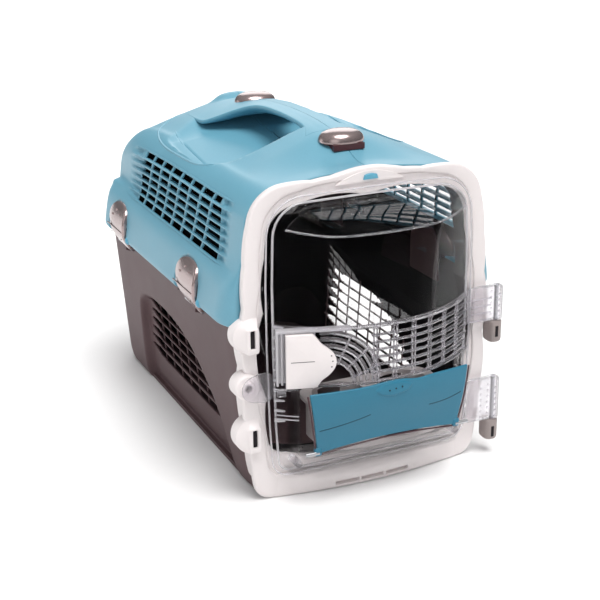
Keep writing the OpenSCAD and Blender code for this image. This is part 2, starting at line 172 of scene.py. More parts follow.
def sheet_faces(rows, cols, hole=None, wrap=False):
    """Quads of a grid of points, row by row, without the cells in hole; wrap joins the last column to the
    first."""
    i, j = np.meshgrid(np.arange(rows - 1), np.arange(cols if wrap else cols - 1), indexing="ij")
    k = (j + 1) % cols
    faces = np.stack([i * cols + j, i * cols + k, (i + 1) * cols + k, (i + 1) * cols + j], -1)
    if hole is not None:
        faces = faces[~hole]
    return faces.reshape(-1, 4)


def cells_inside(inside):
    """True for each cell of a grid whose four corners are all inside."""
    return inside[:-1, :-1] & inside[1:, :-1] & inside[:-1, 1:] & inside[1:, 1:]


def used(points, faces):
    """Drops the points that no face uses."""
    keep, back = np.unique(faces, return_inverse=True)
    return points[keep], back.reshape(faces.shape)


def loft(rings):
    """Skin over closed rings of equal length, with a fan of triangles over each end."""
    rings = np.asarray(rings, float)
    count, n = rings.shape[:2]
    points = np.vstack([rings.reshape(-1, 3), rings[0].mean(0), rings[-1].mean(0)])
    i = np.arange(n)
    k = (i + 1) % n
    first = np.stack([k, i, np.full(n, count * n)], 1)
    last = (count - 1) * n + np.stack([i, k, np.full(n, n + 1)], 1)
    return points, [sheet_faces(count, n, wrap=True), first, last]


def joined(parts):
    """Several (points, faces) skins as one."""
    points, by_size, start = [], {}, 0
    for p, faces in parts:
        for f in faces if isinstance(faces, list) else [faces]:
            by_size.setdefault(f.shape[1], []).append(f + start)
        points.append(p)
        start += len(p)
    return np.vstack(points), [np.vstack(f) for f in by_size.values()]


def rounded_block(lo, hi, edge):
    """A block whose upright and flat edges are rounded: rings of a rounded rectangle, drawn in by a
    quarter circle at the bottom and the top."""
    lo, hi = np.asarray(lo, float), np.asarray(hi, float)
    r = min(edge, *((hi - lo) / 2.001))
    a = QUARTER
    rings = []
    for z, inset in [(lo[2] + r - r * math.cos(t), r - r * math.sin(t)) for t in a] + \
                    [(hi[2] - r + r * math.sin(t), r - r * math.cos(t)) for t in a]:
        c = r - inset * 0.98
        ring = []
        for sx, sy, a0 in ((1, 1, 0), (-1, 1, 90), (-1, -1, 180), (1, -1, 270)):
            cx = (hi[0] - r) if sx > 0 else (lo[0] + r)
            cy = (hi[1] - r) if sy > 0 else (lo[1] + r)
            t = np.radians(a0) + a
            ring.append(np.stack([cx + c * np.cos(t), cy + c * np.sin(t), np.full(len(t), z)], 1))
        rings.append(np.vstack(ring))
    return loft(rings)


def plate(outline, y0, y1, edge=1.0, place=None):
    """A plate from y0 to y1 with a closed x-z outline whose rims are rounded: the outline shrinks towards
    its middle by the rounding at both faces."""
    outline = np.asarray(outline, float)
    middle = outline.mean(0)
    size = np.abs(outline - middle).max()
    depth = abs(y1 - y0)
    way = 1 if y1 > y0 else -1
    rings = [(y0 + way * (edge - edge * math.cos(a)), edge - edge * math.sin(a)) for a in QUARTER]
    rings += [(y0 + way * (depth - edge + edge * math.sin(a)), edge - edge * math.cos(a)) for a in QUARTER]
    made = []
    for y, inset in rings:
        q = middle + (outline - middle) * (1 - inset / size)
        ring = np.stack([q[:, 0], np.full(len(q), y), q[:, 1]], 1)
        made.append(ring if place is None else place(ring))
    return loft(made)


def bead(centre, radii, rows=9, cols=16):
    """An ellipsoid: rings of latitude, closed by a point at each pole."""
    a = np.radians(np.linspace(-84, 84, rows))
    b = np.linspace(0, 2 * np.pi, cols, endpoint=False)
    rings = np.stack([np.cos(a)[:, None] * np.cos(b), np.cos(a)[:, None] * np.sin(b),
                      np.repeat(np.sin(a)[:, None], cols, 1)], -1)
    return loft(np.asarray(centre) + rings * np.asarray(radii))


def bar(path, half_a, half_b, normal, sides=8, power=2.6):
    """A bar along a path: at each point a rounded rectangle (a superellipse) that spans normal by half_b
    and the direction square to it by half_a. Both may be lists along the path."""
    path = np.asarray(path, float)
    along = np.gradient(path, axis=0)
    along /= np.linalg.norm(along, axis=1)[:, None]
    up = np.broadcast_to(np.asarray(normal, float), path.shape)
    up = up - (up * along).sum(1)[:, None] * along
    up /= np.linalg.norm(up, axis=1)[:, None]
    across = np.cross(along, up)
    t = np.linspace(0, 2 * np.pi, sides, endpoint=False) + np.pi / sides
    c = np.sign(np.cos(t)) * np.abs(np.cos(t)) ** (2 / power)
    s = np.sign(np.sin(t)) * np.abs(np.sin(t)) ** (2 / power)
    a = np.broadcast_to(half_a, len(path))[:, None, None]
    b = np.broadcast_to(half_b, len(path))[:, None, None]
    return loft(path[:, None] + across[:, None] * c[None, :, None] * a + up[:, None] * s[None, :, None] * b)


def lathe(profile, place, sides=32):
    """A turned shape: (radius, height) points swung round an axis; place turns (u, v, height) into x, y, z."""
    t = np.linspace(0, 2 * np.pi, sides, endpoint=False)
    rings = [place(r * np.cos(t), r * np.sin(t), np.full(sides, h)) for r, h in profile]
    return loft(rings)


# ---------------------------------------------------------------- finishes


def new_finish(name):
    """A new material with its nodes, its links and its shader."""
    mat = bpy.data.materials.new(name)
    mat.use_nodes = True
    return mat, mat.node_tree.nodes, mat.node_tree.links, mat.node_tree.nodes["Principled BSDF"]


def noise(nodes, links, coords, scale, detail=3.0):
    """A noise pattern on the piece's own coordinates."""
    n = nodes.new("ShaderNodeTexNoise")
    n.inputs["Scale"].default_value = scale
    n.inputs["Detail"].default_value = detail
    n.inputs["Roughness"].default_value = 0.55
    links.new(coords.outputs["Object"], n.inputs["Vector"])
    return n


def gloss_and_bump(nodes, links, coords, shader, patches, gloss, grain, depth, reach):
    """Gloss that varies in soft patches between two roughnesses, and a fine bump: depth is the bump's
    strength and reach its height in metres."""
    spread = nodes.new("ShaderNodeMapRange")
    spread.inputs["To Min"].default_value, spread.inputs["To Max"].default_value = gloss
    links.new(noise(nodes, links, coords, patches, 4.0).outputs["Fac"], spread.inputs["Value"])
    links.new(spread.outputs["Result"], shader.inputs["Roughness"])
    bump = nodes.new("ShaderNodeBump")
    bump.inputs["Strength"].default_value, bump.inputs["Distance"].default_value = depth, reach
    links.new(noise(nodes, links, coords, grain, 2.0).outputs["Fac"], bump.inputs["Height"])
    links.new(bump.outputs["Normal"], shader.inputs["Normal"])


def moulded(name, colour, roughness, grain=900, grain_depth=0.06, drift=0.06, specular=0.5, metallic=0.0,
            coat=0.0):
    """Moulded plastic: the colour drifts a little over a hand's width, fine specks vary it, the gloss varies
    in soft patches, and a spark-eroded grain gives the bump."""
    mat, nodes, links, shader = new_finish(name)
    coords = nodes.new("ShaderNodeTexCoord")
    broad = noise(nodes, links, coords, 9)
    speck = noise(nodes, links, coords, grain * 0.45, 2.0)
    ramp = nodes.new("ShaderNodeValToRGB")
    ramp.color_ramp.elements[0].position, ramp.color_ramp.elements[1].position = 0.3, 0.7
    ramp.color_ramp.elements[0].color = (*[c * (1 - drift) for c in colour], 1)
    ramp.color_ramp.elements[1].color = (*[min(1, c * (1 + drift)) for c in colour], 1)
    blend = nodes.new("ShaderNodeMath")
    blend.operation = "MULTIPLY_ADD"
    blend.inputs[1].default_value = 0.35
    links.new(speck.outputs["Fac"], blend.inputs[0])
    scaled = nodes.new("ShaderNodeMath")
    scaled.operation = "MULTIPLY"
    scaled.inputs[1].default_value = 0.65
    links.new(broad.outputs["Fac"], scaled.inputs[0])
    links.new(scaled.outputs[0], blend.inputs[2])
    links.new(blend.outputs[0], ramp.inputs["Fac"])
    links.new(ramp.outputs["Color"], shader.inputs["Base Color"])
    gloss_and_bump(nodes, links, coords, shader, 35, (roughness - 0.05, roughness + 0.06), grain,
                   grain_depth, 0.0004)
    shader.inputs["Specular IOR Level"].default_value = specular
    shader.inputs["Metallic"].default_value = metallic
    shader.inputs["Coat Weight"].default_value = coat
    return mat


def clear(name, tint, roughness, ior, body, density=0.0, flow_depth=0.05):
    """Clear moulded plastic: light passes with a faint tint, flow marks from the mould ripple the surface,
    and the gloss varies in soft patches. Body says how much of the light the plastic bends or throws back."""
    mat, nodes, links, shader = new_finish(name)
    coords = nodes.new("ShaderNodeTexCoord")
    ramp = nodes.new("ShaderNodeValToRGB")
    ramp.color_ramp.elements[0].color = (*[c * 0.95 for c in tint], 1)
    ramp.color_ramp.elements[1].color = (*tint, 1)
    links.new(noise(nodes, links, coords, 14).outputs["Fac"], ramp.inputs["Fac"])
    links.new(ramp.outputs["Color"], shader.inputs["Base Color"])
    gloss_and_bump(nodes, links, coords, shader, 40, (roughness * 0.6, roughness * 1.5), 45,
                   flow_depth, 0.0006)
    shader.inputs["Transmission Weight"].default_value = 1 - density
    shader.inputs["IOR"].default_value = ior
    shader.inputs["Alpha"].default_value = body
    return mat


ROOF_TEAL = moulded("roof_teal", (0.125, 0.345, 0.455), 0.42, 1100, 0.10, 0.05, 0.7)
# near-black inside finish: painted shade on inner faces and hidden parts that are really the same plastic as
# their outsides
INSIDE_SHADE = moulded("inner_shade_paint", (0.008, 0.007, 0.008), 0.8, 900, 0.02, 0.2, 0.1)
BASE = moulded("base_taupe", (0.100, 0.058, 0.062), 0.50, 1000, 0.14, 0.10, 0.3)
FRAME = moulded("frame_white", (0.81, 0.755, 0.75), 0.33, 700, 0.03, 0.02, 0.5, 0, 0.1)
HATCH = moulded("hatch_teal", (0.022, 0.168, 0.262), 0.40, 1000, 0.09, 0.05, 0.4)
TAB_BLUE = moulded("tab_blue", (0.10, 0.36, 0.50), 0.35, 1000, 0.06, 0.04)
SILVER = moulded("satin_silver", (0.38, 0.30, 0.295), 0.24, 1500, 0.05, 0.05, 0.5, 0.9, 0.2)
DARK_RED = moulded("slide_red", (0.060, 0.008, 0.012), 0.35, 900, 0.05, 0.1)
# dark reddish painted shade for the gap round the feed hatch
HATCH_GAP_SHADE = moulded("hatch_gap_shade_paint", (0.050, 0.012, 0.018), 0.30, 900, 0.05, 0.1)
STEEL = moulded("pin_steel", (0.50, 0.50, 0.52), 0.28, 1800, 0.08, 0.08, 0.5, 1.0)
# the food dish is white plastic; this grey is painted shade for the dim cabin it sits in
DISH_SHADE = moulded("dish_shade_grey", (0.34, 0.31, 0.31), 0.30, 700, 0.03, 0.02)
# near-black painted shade, laid into slots, grooves and grip dimples
SHADE = moulded("slot_and_dimple_shade", (0.015, 0.012, 0.014), 0.7, 900, 0.1, 0.2, 0.2)
# grey-brown painted shade for the right hinge lugs, which are white like the frame but stand in shadow
LUG_SHADE = moulded("lug_shade_grey", (0.30, 0.255, 0.245), 0.40, 700, 0.03, 0.05)
CLEAR = clear("clear_door", (0.97, 0.95, 0.98), 0.02, 1.24, 0.11, 0.0, 0.01)
CLEAR_RIB = clear("clear_ribs", (0.94, 0.91, 0.96), 0.05, 1.42, 0.66, 0.07)
# milky clear plastic whose pale colour paints the bright highlights along clear edges: the door's rim beads,
# teeth and latch bed
CLEAR_HIGHLIGHT = clear("clear_highlight_paint", (0.90, 0.88, 0.91), 0.12, 1.40, 0.80, 0.45)

KEPT = {
    "hinge_pins_left": TAB_BLUE, "hinge_pins_right": TAB_BLUE, "clip_pivot_pins": STEEL,
    "top_slide_front": DARK_RED, "top_slide_rear": DARK_RED, "door_hinge_pins": STEEL,
    "door_latch_spring": STEEL, "door_screws": CLEAR_RIB, "hatch_pins": STEEL, "food_dish": DISH_SHADE,
}
for node_name, finish in KEPT.items():
    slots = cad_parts[node_name].material_slots
    for k in range(len(slots)):
        slots[k].material = finish

# ---------------------------------------------------------------- roof

SPLIT_Z = 188.4
FRONT_Y = -192.4  # the skins reach this far forward over the frame
# stations along the roof: y, half width, shoulder height, crown height
STATIONS = np.array([
    (FRONT_Y, 135.2, 322.5, 331.4), (-171.6, 136.6, 323, 333.5), (-118, 138, 323, 352.5),
    (-20, 138, 323, 357.6), (88, 137, 320, 350), (165, 134, 312, 336),
    (222, 127, 295, 312), (246, 119, 277, 297), (259, 105, 251, 266)])
CLIP_YS = {"front": -84, "rear": 152}
PIN_X, PIN_Z = 146, 193
NOTCH_FLAT, NOTCH_R = 10.5, 34.5  # height of a clip notch's straight sides over the pin, and its half length
GRID_Y = -20.0  # where the roof's outline is read for the grid's heights

# knots of the outline: share of the half width, share of the height up to the shoulder, and the place of the
# proud lower band (distance from the middle, height), which fades out towards the rear
WALL_KNOTS = np.array([(0.965, 0.004), (0.98, 0), (0.99, 0), (0.992, 0.01), (0.994, 0.03), (0.996, 0.07),
                       (1.0, 0.19), (1.0, 0.27), (0.997, 0.33), (0.995, 0.37), (0.993, 0.41), (0.976, 0.52)])
BAND_KNOTS = np.array([(140.5, 189.8), (143, 186.9), (147, 186.1), (151.2, 188.3), (153, 193), (152.4, 199),
                       (149.7, 214), (147.2, 224.5), (144.2, 232), (140.8, 237.5), (137.6, 243)])
ARC_DEG = np.linspace(14, 82, 6)
KNOT_PLACES = np.array([0, 1, 2, 3, 4, 5, 7, 9, 10.5, 12, 13.5, 16, 20, 22, 24, 26, 28, 30, 35, 41, 45, 46.5])


def roof_outline(y, places):
    """Points of the roof's left skin: for each y, a smooth curve through knots of the wall, the round
    shoulder and the crown, at each place along it. Behind the last station it closes to a flat rear wall."""
    y = np.atleast_1d(y)
    w, sh, cr = (smooth_curve(np.clip(y, STATIONS[0, 0], STATIONS[-1, 0]), STATIONS[:, 0], STATIONS[:, k])
                 for k in (1, 2, 3))
    fade = np.sqrt(np.clip(1 - (np.clip(y - 196, 0, 26) / 26) ** 2, 0, 1))
    fade *= np.sqrt(np.clip(1 - (np.clip(-166 - y, 0, 26.4) / 26.4) ** 2, 0, 1))
    knots = np.zeros((len(y), len(KNOT_PLACES), 2))
    for k, (share, up) in enumerate(WALL_KNOTS):
        knots[:, k, 0] = share * w
        knots[:, k, 1] = SPLIT_Z + up * (sh - SPLIT_Z)
    for k, (bx, bz) in enumerate(BAND_KNOTS):
        knots[:, k, 0] += fade * (bx - knots[:, k, 0])
        knots[:, k, 1] += fade * (bz - knots[:, k, 1])
    n = len(WALL_KNOTS)
    for k, a in enumerate(np.radians(ARC_DEG)):
        knots[:, n + k, 0] = 0.66 * w + 0.3 * w * math.cos(a)
        knots[:, n + k, 1] = sh - 0.3 * w + 0.3 * w * math.sin(a)
    n += len(ARC_DEG)
    for k, (x, rise) in enumerate(((62, 0.44), (24, 0.90), (7, 0.99), (0, 1.0))):
        knots[:, n + k, 0] = x * np.minimum(1, w / 120)
        knots[:, n + k, 1] = sh + rise * (cr - sh)
    return np.einsum("pk,ykc->ypc", smooth_weights(places, KNOT_PLACES), knots)


def top_height(x, y):
    """Height of the undented roof over points at distance x from the middle, by reading the outline at y."""
    places = np.linspace(24, 46.5, 60)
    out = roof_outline(y, places)
    return np.array([np.interp(xi, o[::-1, 0], o[::-1, 1]) for xi, o in zip(np.atleast_2d(x), out)])


SCOOP_Y, SCOOP_HALF = 25, 119  # the scoop's widest place and its half width there


def scoop_form(front):
    """The scoop's length from its widest place, and its superellipse's power: nearly square in front,
    round behind."""
    return np.where(front, 113.0, 160.0), np.where(front, 5.0, 2.6)


def scoop_share(x, y):
    """1 on the scoop's rim and less inside it: a superellipse of scoop_form."""
    reach, power = scoop_form(y < SCOOP_Y)
    side = np.abs(x) / SCOOP_HALF
    ahead = np.abs(y - SCOOP_Y) / reach
    return (side ** power + ahead ** power) ** (1 / power)


def scoop_floor(x, y):
    """Height of the scoop's floor: a shallow tilted bowl with a rim band set off by a small step, a fine
    groove inside the band, and a wall that rises past the rim."""
    share = scoop_share(x, y)
    floor = 302.5 + 13 * (1 - (np.abs(x) / SCOOP_HALF) ** 2) + 0.13 * np.clip(y, -200, 60)
    floor += 1.9 * smoothstep(0.845, 0.858, share)
    shown = smoothstep(-10, 8, x - 30 + 0.2 * y) * smoothstep(70, 45, y)
    floor -= 1.3 * np.exp(-((share - 0.845) / 0.008) ** 2) * shown
    floor += 22 * smoothstep(0.0, 1.0, (y - 60) / 90) + 62 * np.clip((share - 0.93) / 0.12, 0, 3) ** 2
    return floor


GRID_TOP, GRID_PITCH, GRID_ROWS = 303.0, 9.0, 7
GRID_FRONT = -141.0
BAR_TOPS = np.array([121, 70, 39, 8.5, -22, -53, -84, -115, GRID_FRONT])
SCOOP_SOFT = 2.5
BAR_HALF, SLAT_HALF = 1.2, 1.3


def grid_rear(z):
    """y of the grid's rear end at height z."""
    return 118 - 0.08 * (302 - z)


def bar_places(z):
    """Where the grid's upright bars cross height z: the ends stand upright and the bars between them lean."""
    lean = 0.33 * (302 - z)
    out = BAR_TOPS[None, :] + lean[:, None]
    out[:, 0] = grid_rear(z)
    out[:, -1] = GRID_FRONT
    return out


def grid_heights():
    """Places along the roof's outline and the heights they have beside the grid."""
    places = np.linspace(12, 30, 400)
    return places, roof_outline([GRID_Y], places)[0, :, 1]


def roof_rows():
    """Places of the rows of points up the roof, of the slats' edges, and of the rows between the slats."""
    probe, rise = grid_heights()
    slat_z = []
    for row in range(GRID_ROWS + 1):
        z = GRID_TOP - GRID_PITCH * row
        slat_z += [z + SLAT_HALF, z - SLAT_HALF]
    inner = [GRID_TOP - GRID_PITCH * (row + f) for row in range(GRID_ROWS) for f in (0.3, 0.5, 0.7)]
    slat_places = np.interp(np.sort(slat_z), rise, probe)
    cell_places = np.interp(np.sort(inner), rise, probe)
    places = np.unique(np.round(np.concatenate([
        np.linspace(0, 5, 16), np.linspace(5.4, slat_places[0] - 0.3, 13), slat_places, cell_places,
        np.linspace(slat_places[-1] + 0.25, 31, 20), np.linspace(31.3, 46.5, 50)]), 4))
    return places, slat_places, cell_places


def roof_lines(places):
    """y of the lines that cross the rows, bent near the grid to follow its leaning bars, and the numbers of
    the lines at the bars' edges."""
    lines = np.concatenate([np.linspace(FRONT_Y, 222, 226), np.linspace(224, 259, 22)])
    heights = roof_outline([GRID_Y], places)[0, :, 1]
    y = np.tile(lines, (len(places), 1))
    middle_z = GRID_TOP - GRID_PITCH * GRID_ROWS / 2
    columns = [0]
    centre = bar_places(np.array([middle_z]))[0]
    edges = []
    for k, place in enumerate(centre[::-1]):
        for half in (-BAR_HALF, BAR_HALF):
            if (k == 0 and half < 0) or (k == len(centre) - 1 and half > 0):
                continue
            col = int(np.argmin(np.abs(lines - (place + half))))
            while col <= columns[-1]:
                col += 1
            columns.append(col)
            edges.append((len(centre) - 1 - k, half))
    last = len(lines) - 1
    weight = smoothstep(232, 238, heights) * smoothstep(0, 8, 40 - places)
    at = bar_places(np.clip(heights, 238, 305))
    for row in range(len(places)):
        if weight[row] <= 0:
            continue
        goal = [FRONT_Y] + [at[row, k] + half for k, half in edges] + [259]
        bent = np.interp(np.arange(len(lines)), columns + [last], goal)
        y[row] += weight[row] * (bent - y[row])
    return y, columns


def with_rear(points):
    """The roof's points with its rear wall: rings drawn in towards the middle of the split line."""
    rear = [points]
    for share in (0.985, 0.95, 0.88, 0.7, 0.45, 0.2, 0.02):
        ring = points[:, -1:].copy()
        ring[..., 0] *= share
        ring[..., 0] = np.maximum(ring[..., 0], 0.25)
        ring[..., 2] = SPLIT_Z + (ring[..., 2] - SPLIT_Z) * (1 - (1 - share) * 0.9)
        ring[..., 1] = 259.2 + 0.5 * (1 - share)
        rear.append(ring)
    return np.concatenate(rear, 1)


def cut_notches(points, hole):
    """Opens the notches round the clips: points near a notch's edge are drawn to it, and cells that are
    fully inside become holes."""
    y, z = points[..., 1], points[..., 2]
    d = np.hypot(points[..., 0] - PIN_X, z - PIN_Z)
    for yc in CLIP_YS.values():
        t = np.abs(y - yc)
        dome = np.sqrt(np.clip(NOTCH_R**2 - (1.28 * (d - NOTCH_FLAT)) ** 2, 0, None))
        reach = np.where(d <= NOTCH_FLAT, NOTCH_R, dome)
        zone = (points[..., 0] > 118) & (z < 240)
        inside = (t < reach - 0.01) & zone
        hole |= cells_inside(inside)
        near = inside & (reach > 6) & (reach - t < 2.6)
        y[:] = np.where(near, yc + np.sign(y - yc) * reach, y)


def roof_half(side):
    """Points and faces of one roof half. Rows run along the roof at heights that meet the grid's slats, and
    the lines across them bend to follow the grid's leaning bars."""
    places, slat_places, cell_places = roof_rows()
    y, columns = roof_lines(places)
    points = np.zeros((*y.shape, 3))
    for row, place in enumerate(places):
        p = roof_outline(y[row], [place])[:, 0]
        points[row, :, 0], points[row, :, 2] = p[:, 0], p[:, 1]
    points[:, :, 1] = y
    # valleys between the slats, which run on past the openings and die away
    x, z = points[:, :, 0], points[:, :, 2]
    valley = np.zeros(len(places))
    valley[np.isin(places, np.round(cell_places, 4))] = 1
    past = np.maximum((GRID_FRONT - y) / 24, (y - grid_rear(z)) / 46)
    x -= 4.2 * valley[:, None] * np.where(past >= -0.02, np.clip(1 - past, 0, 1) ** 1.3, 0)
    # scoop, and the hump behind the rear latch
    top = places[:, None] > 20
    z[:] = np.where(top, soft_min(z, scoop_floor(x, y), SCOOP_SOFT), z)
    z += np.where(top, 7.5 * np.exp(-((x / 24) ** 2 + ((y - 152) / 20) ** 2) ** 2), 0)
    # the two halves stand a little apart on the scoop's floor
    seam = smoothstep(-62, -45, y) * smoothstep(48, 36, y)
    x[:] = np.maximum(x, 0.25 + 1.3 * seam)
    points = with_rear(points)
    rows, cols = points.shape[:2]
    # openings of the grid
    hole = np.zeros((rows - 1, cols - 1), bool)
    row_of = {round(p, 4): i for i, p in enumerate(places)}
    for row in range(GRID_ROWS):
        low = row_of[round(slat_places[2 * row + 1], 4)]
        high = row_of[round(slat_places[2 * row + 2], 4)]
        from_top = GRID_ROWS - 1 - row
        for k in range(len(columns) // 2):
            a, b = columns[1 + 2 * k], columns[2 + 2 * k]
            if from_top == 0 and k in (0, 7):
                a, b = (a + 4, b) if k == 0 else (a, b - 6)
            hole[low:high, a:b] = True
    cut_notches(points, hole)
    points[..., 0] *= side
    return used(points.reshape(-1, 3), sheet_faces(rows, cols, hole))


def scoop_lines(side):
    """Two fine raised lines on the scoop: one along its rim, one inside the rim band."""
    parts = []
    for share, r, a0, a1 in ((1.0, 1.1, -78, 74), (0.852, 0.8, -74, 30)):
        a = np.radians(np.linspace(a0, a1, 150))
        reach, power = scoop_form(a < 0)
        x = SCOOP_HALF * share * np.abs(np.cos(a)) ** (2 / power)
        y = SCOOP_Y + share * reach * np.sign(np.sin(a)) * np.abs(np.sin(a)) ** (2 / power)
        z = soft_min(top_height(x[:, None], y)[:, 0], scoop_floor(x, y), SCOOP_SOFT)
        fade = smoothstep(0, 0.12, (a - a[0])) * smoothstep(0, 0.25, (a[-1] - a))
        parts.append(bar(np.stack([side * x, y, z - 0.5 * r], 1), 0.2 + r * fade, 0.2 + r * fade, (0, 0, 1), 8))
    return joined(parts)


def handle_half(side):
    """One half of the carrying strap: at each y a closed section from the seam over the crowned top, round
    the outer edge and back along the hollow underside. It widens to a fin at the rear foot."""
    y = np.concatenate([np.linspace(-114, -70, 22), np.linspace(-66, 60, 43), np.linspace(62, 150, 45)])
    half = smooth_curve(y, [-114, -98, -84, -60, -10, 28, 45, 58, 68, 76, 84, 98, 130, 150],
                        [27, 20, 17.5, 16.5, 16, 18, 25, 39, 54, 63.5, 66, 66, 63, 60])
    lip = smooth_curve(y, [-114, -60, -10, 60, 80, 150], [7, 5.2, 5, 5, 4.6, 3])
    core = smooth_curve(y, [-114, -88, -60, -10, 40, 62, 84, 110, 150], [16, 15, 13, 12.5, 13.5, 16, 18, 14, 6])
    share = np.linspace(0, 1, 15)
    x = np.outer(half, share)
    z = top_height(x, y) + 0.15
    roll = np.radians(np.linspace(20, 160, 7))
    edge_x = half[:, None] + (lip / 2)[:, None] * np.sin(roll) * 0.8
    edge_z = (z[:, -1] - lip / 2)[:, None] + (lip / 2)[:, None] * np.cos(roll)
    back = share[::-1]
    under = z[:, ::-1] - (lip[:, None] + (core - lip)[:, None] * (1 - back**2))
    section_x = np.concatenate([x, edge_x, x[:, ::-1]], 1)
    section_z = np.concatenate([z, edge_z, under], 1)
    rings = np.stack([side * np.maximum(section_x, 0.25), np.repeat(y[:, None], section_x.shape[1], 1),
                      section_z], -1)
    return loft(rings)


def roof_slats(side):
    """The grid's long thin slats, which run on past the openings and fade into the skin at both ends; behind
    the grid they fan out a little."""
    parts = []
    probe, rise = grid_heights()
    for row in range(GRID_ROWS + 1):
        z0 = GRID_TOP - GRID_PITCH * row
        y = np.linspace(-163 + 1.2 * row, 150, 80)
        place = np.interp(z0, rise, probe)
        skin = roof_outline(y, [place])[:, 0]
        lower = roof_outline(y, [place - 0.15])[:, 0]
        normal = np.stack([skin[:, 1] - lower[:, 1], 0 * y, lower[:, 0] - skin[:, 0]], 1)
        size = smoothstep(-163 + 1.2 * row, -140, y) * smoothstep(150, 112, y)
        normal /= np.linalg.norm(normal, axis=1)[:, None]
        path = np.stack([skin[:, 0], y, skin[:, 1]], 1) - normal * (2.2 * size)[:, None]
        slat, faces = bar(path, 0.25 + 0.95 * size, 0.25 + 3.2 * size, normal, 8, 3.0)
        parts.append((slat * [side, 1, 1], faces))
    return joined(parts)


for side, word in ((LEFT, "left"), (RIGHT, "right")):
    body = "wing_" + word
    # the skin's inner faces get the near-black inside finish: painted shade
    put("roof_skin_" + word, *roof_half(side), body, ROOF_TEAL, "roof_plastic", ["roof_" + word],
        inside=(side * 60, 30, 230), crease=50, wall=2.6, inside_shade=INSIDE_SHADE)
    put("handle_" + word, *handle_half(side), body, ROOF_TEAL, "roof_plastic", crease=50)
    put("scoop_lines_" + word, *scoop_lines(side), body, ROOF_TEAL, "roof_plastic")
    put("roof_slats_" + word, *roof_slats(side), body, ROOF_TEAL, "roof_plastic")

# ---------------------------------------------------------------- base tray

FLOOR_W, TOP_W = 123.0, 137.6
TRAY_TOP = 187.4
FOOT_R = 24  # height of the tray's rounded foot
CORNER_Y = 214  # where the side walls turn into the rear corners
ARCH_END = 157  # rear end of the arched side panels
VENT_ROWS, VENT_LOW, VENT_PITCH = 6, 46.0, 12.6
ARCH_Y = [-146, -137, -104, -51, -6, 40, 79, 112, 138, 150, 156]
ARCH_Z = [-6, 7, 58, 100, 119, 126, 127.5, 125, 116, 98, 60]


def tray_half_width(z):
    """Half width of the tray: a rounded foot, then a straight draft up to the split line."""
    foot = np.clip(z / FOOT_R, 0, 1)
    return FLOOR_W + (TOP_W - FLOOR_W) * z / TRAY_TOP - 5 * (1 - np.sqrt(1 - (1 - foot) ** 2))


def tray_shell():
    """The tray's skin: rows up the wall, columns from the front left corner round the back to the front
    right. The arched side panels are set in, with lens-shaped slots between thin ribs."""
    z = np.unique(np.round(np.concatenate([[0.0, 0.8, 2, 3.5, 5.5, 8], np.linspace(11, 36, 12),
                                           np.linspace(37.5, 128, 60), np.linspace(130, TRAY_TOP, 18)]), 3))
    side_y = np.linspace(FRONT_Y, CORNER_Y, 222)
    turn = np.radians(np.linspace(3, 87, 15))
    back = np.linspace(0, 1, 14)
    rows = []
    for h in z:
        w = tray_half_width(h)
        lean = 1 - math.sqrt(max(0.0, 1 - (1 - min(h / FOOT_R, 1)) ** 2))
        end = 258.6 - 8 * lean - 1.5 * h / TRAY_TOP
        r = end - CORNER_Y
        left = np.stack([np.full(len(side_y), w), side_y], 1)
        corner = np.stack([w - r + r * np.cos(turn), CORNER_Y + r * np.sin(turn)], 1)
        flat = np.stack([(w - r) * (1 - back), np.full(len(back), end)], 1)
        rows.append(np.vstack([left, corner, flat]))
    plan = np.stack(rows)
    x, y = plan[..., 0], plan[..., 1]
    zz = np.repeat(z[:, None], x.shape[1], 1)
    arch = smooth_curve(np.clip(y, ARCH_Y[0], ARCH_Y[-1]).ravel(), ARCH_Y, ARCH_Z).reshape(y.shape)
    crown = np.where(y > ARCH_END, -50, arch)
    slope = np.gradient(crown, axis=1) / np.maximum(np.gradient(y, axis=1), 0.5)
    depth_in = np.minimum((crown - zz) / np.sqrt(1 + np.clip(slope, -9, 9) ** 2), ARCH_END - y)
    rim = 3 + 8 * smoothstep(-60, 130, y)
    inset = 9.5 * smoothstep(0, 1, depth_in / rim) * smoothstep(-1, 6, zz)
    on_side = y < CORNER_Y + 0.5
    x = x - np.where(on_side, inset, 0) - 2.6 * smoothstep(-150, -192, y)
    hole = np.zeros((len(z) - 1, x.shape[1] - 1), bool)
    snapped = zz.copy()
    for row in range(VENT_ROWS):
        middle = VENT_LOW + VENT_PITCH * row
        front = float(np.interp(middle + 4.4, [38, 58, 100, 119, 126], [-112, -98, -46, 2, 40])) + 5
        rear = 150 - 3.2 * row
        t = np.clip((y - front) / (rear - front), 0, 1)
        ends = np.minimum(t * (rear - front) / 26, (1 - t) * (rear - front) / 34)
        half = 5.6 * np.clip(ends, 0, 1) ** 0.7
        centre = middle + np.where(t > 0.8, 3.0 * (t - 0.8) / 0.2, 0)
        inside = (np.abs(zz - centre) < half) & on_side & (y > front) & (y < rear)
        hole |= cells_inside(inside)
        snap = inside & (half - np.abs(zz - centre) < 1.5)
        snapped = np.where(snap, centre + np.sign(zz - centre) * half, snapped)
    points = np.stack([x, y, snapped], -1)
    left = points * [-1, 1, 1]
    whole = np.concatenate([left[:, :-1], points[:, ::-1]], 1)
    hole = np.concatenate([hole, hole[:, ::-1]], 1)
    return used(whole.reshape(-1, 3), sheet_faces(len(z), whole.shape[1], hole))


# the shell's inner faces get the near-black inside finish: painted shade
put("tray_shell", *tray_shell(), "base", BASE, "base_plastic", ["base_tray"], inside=(0, 20, 90), crease=50,
    wall=2.6, inside_shade=INSIDE_SHADE)


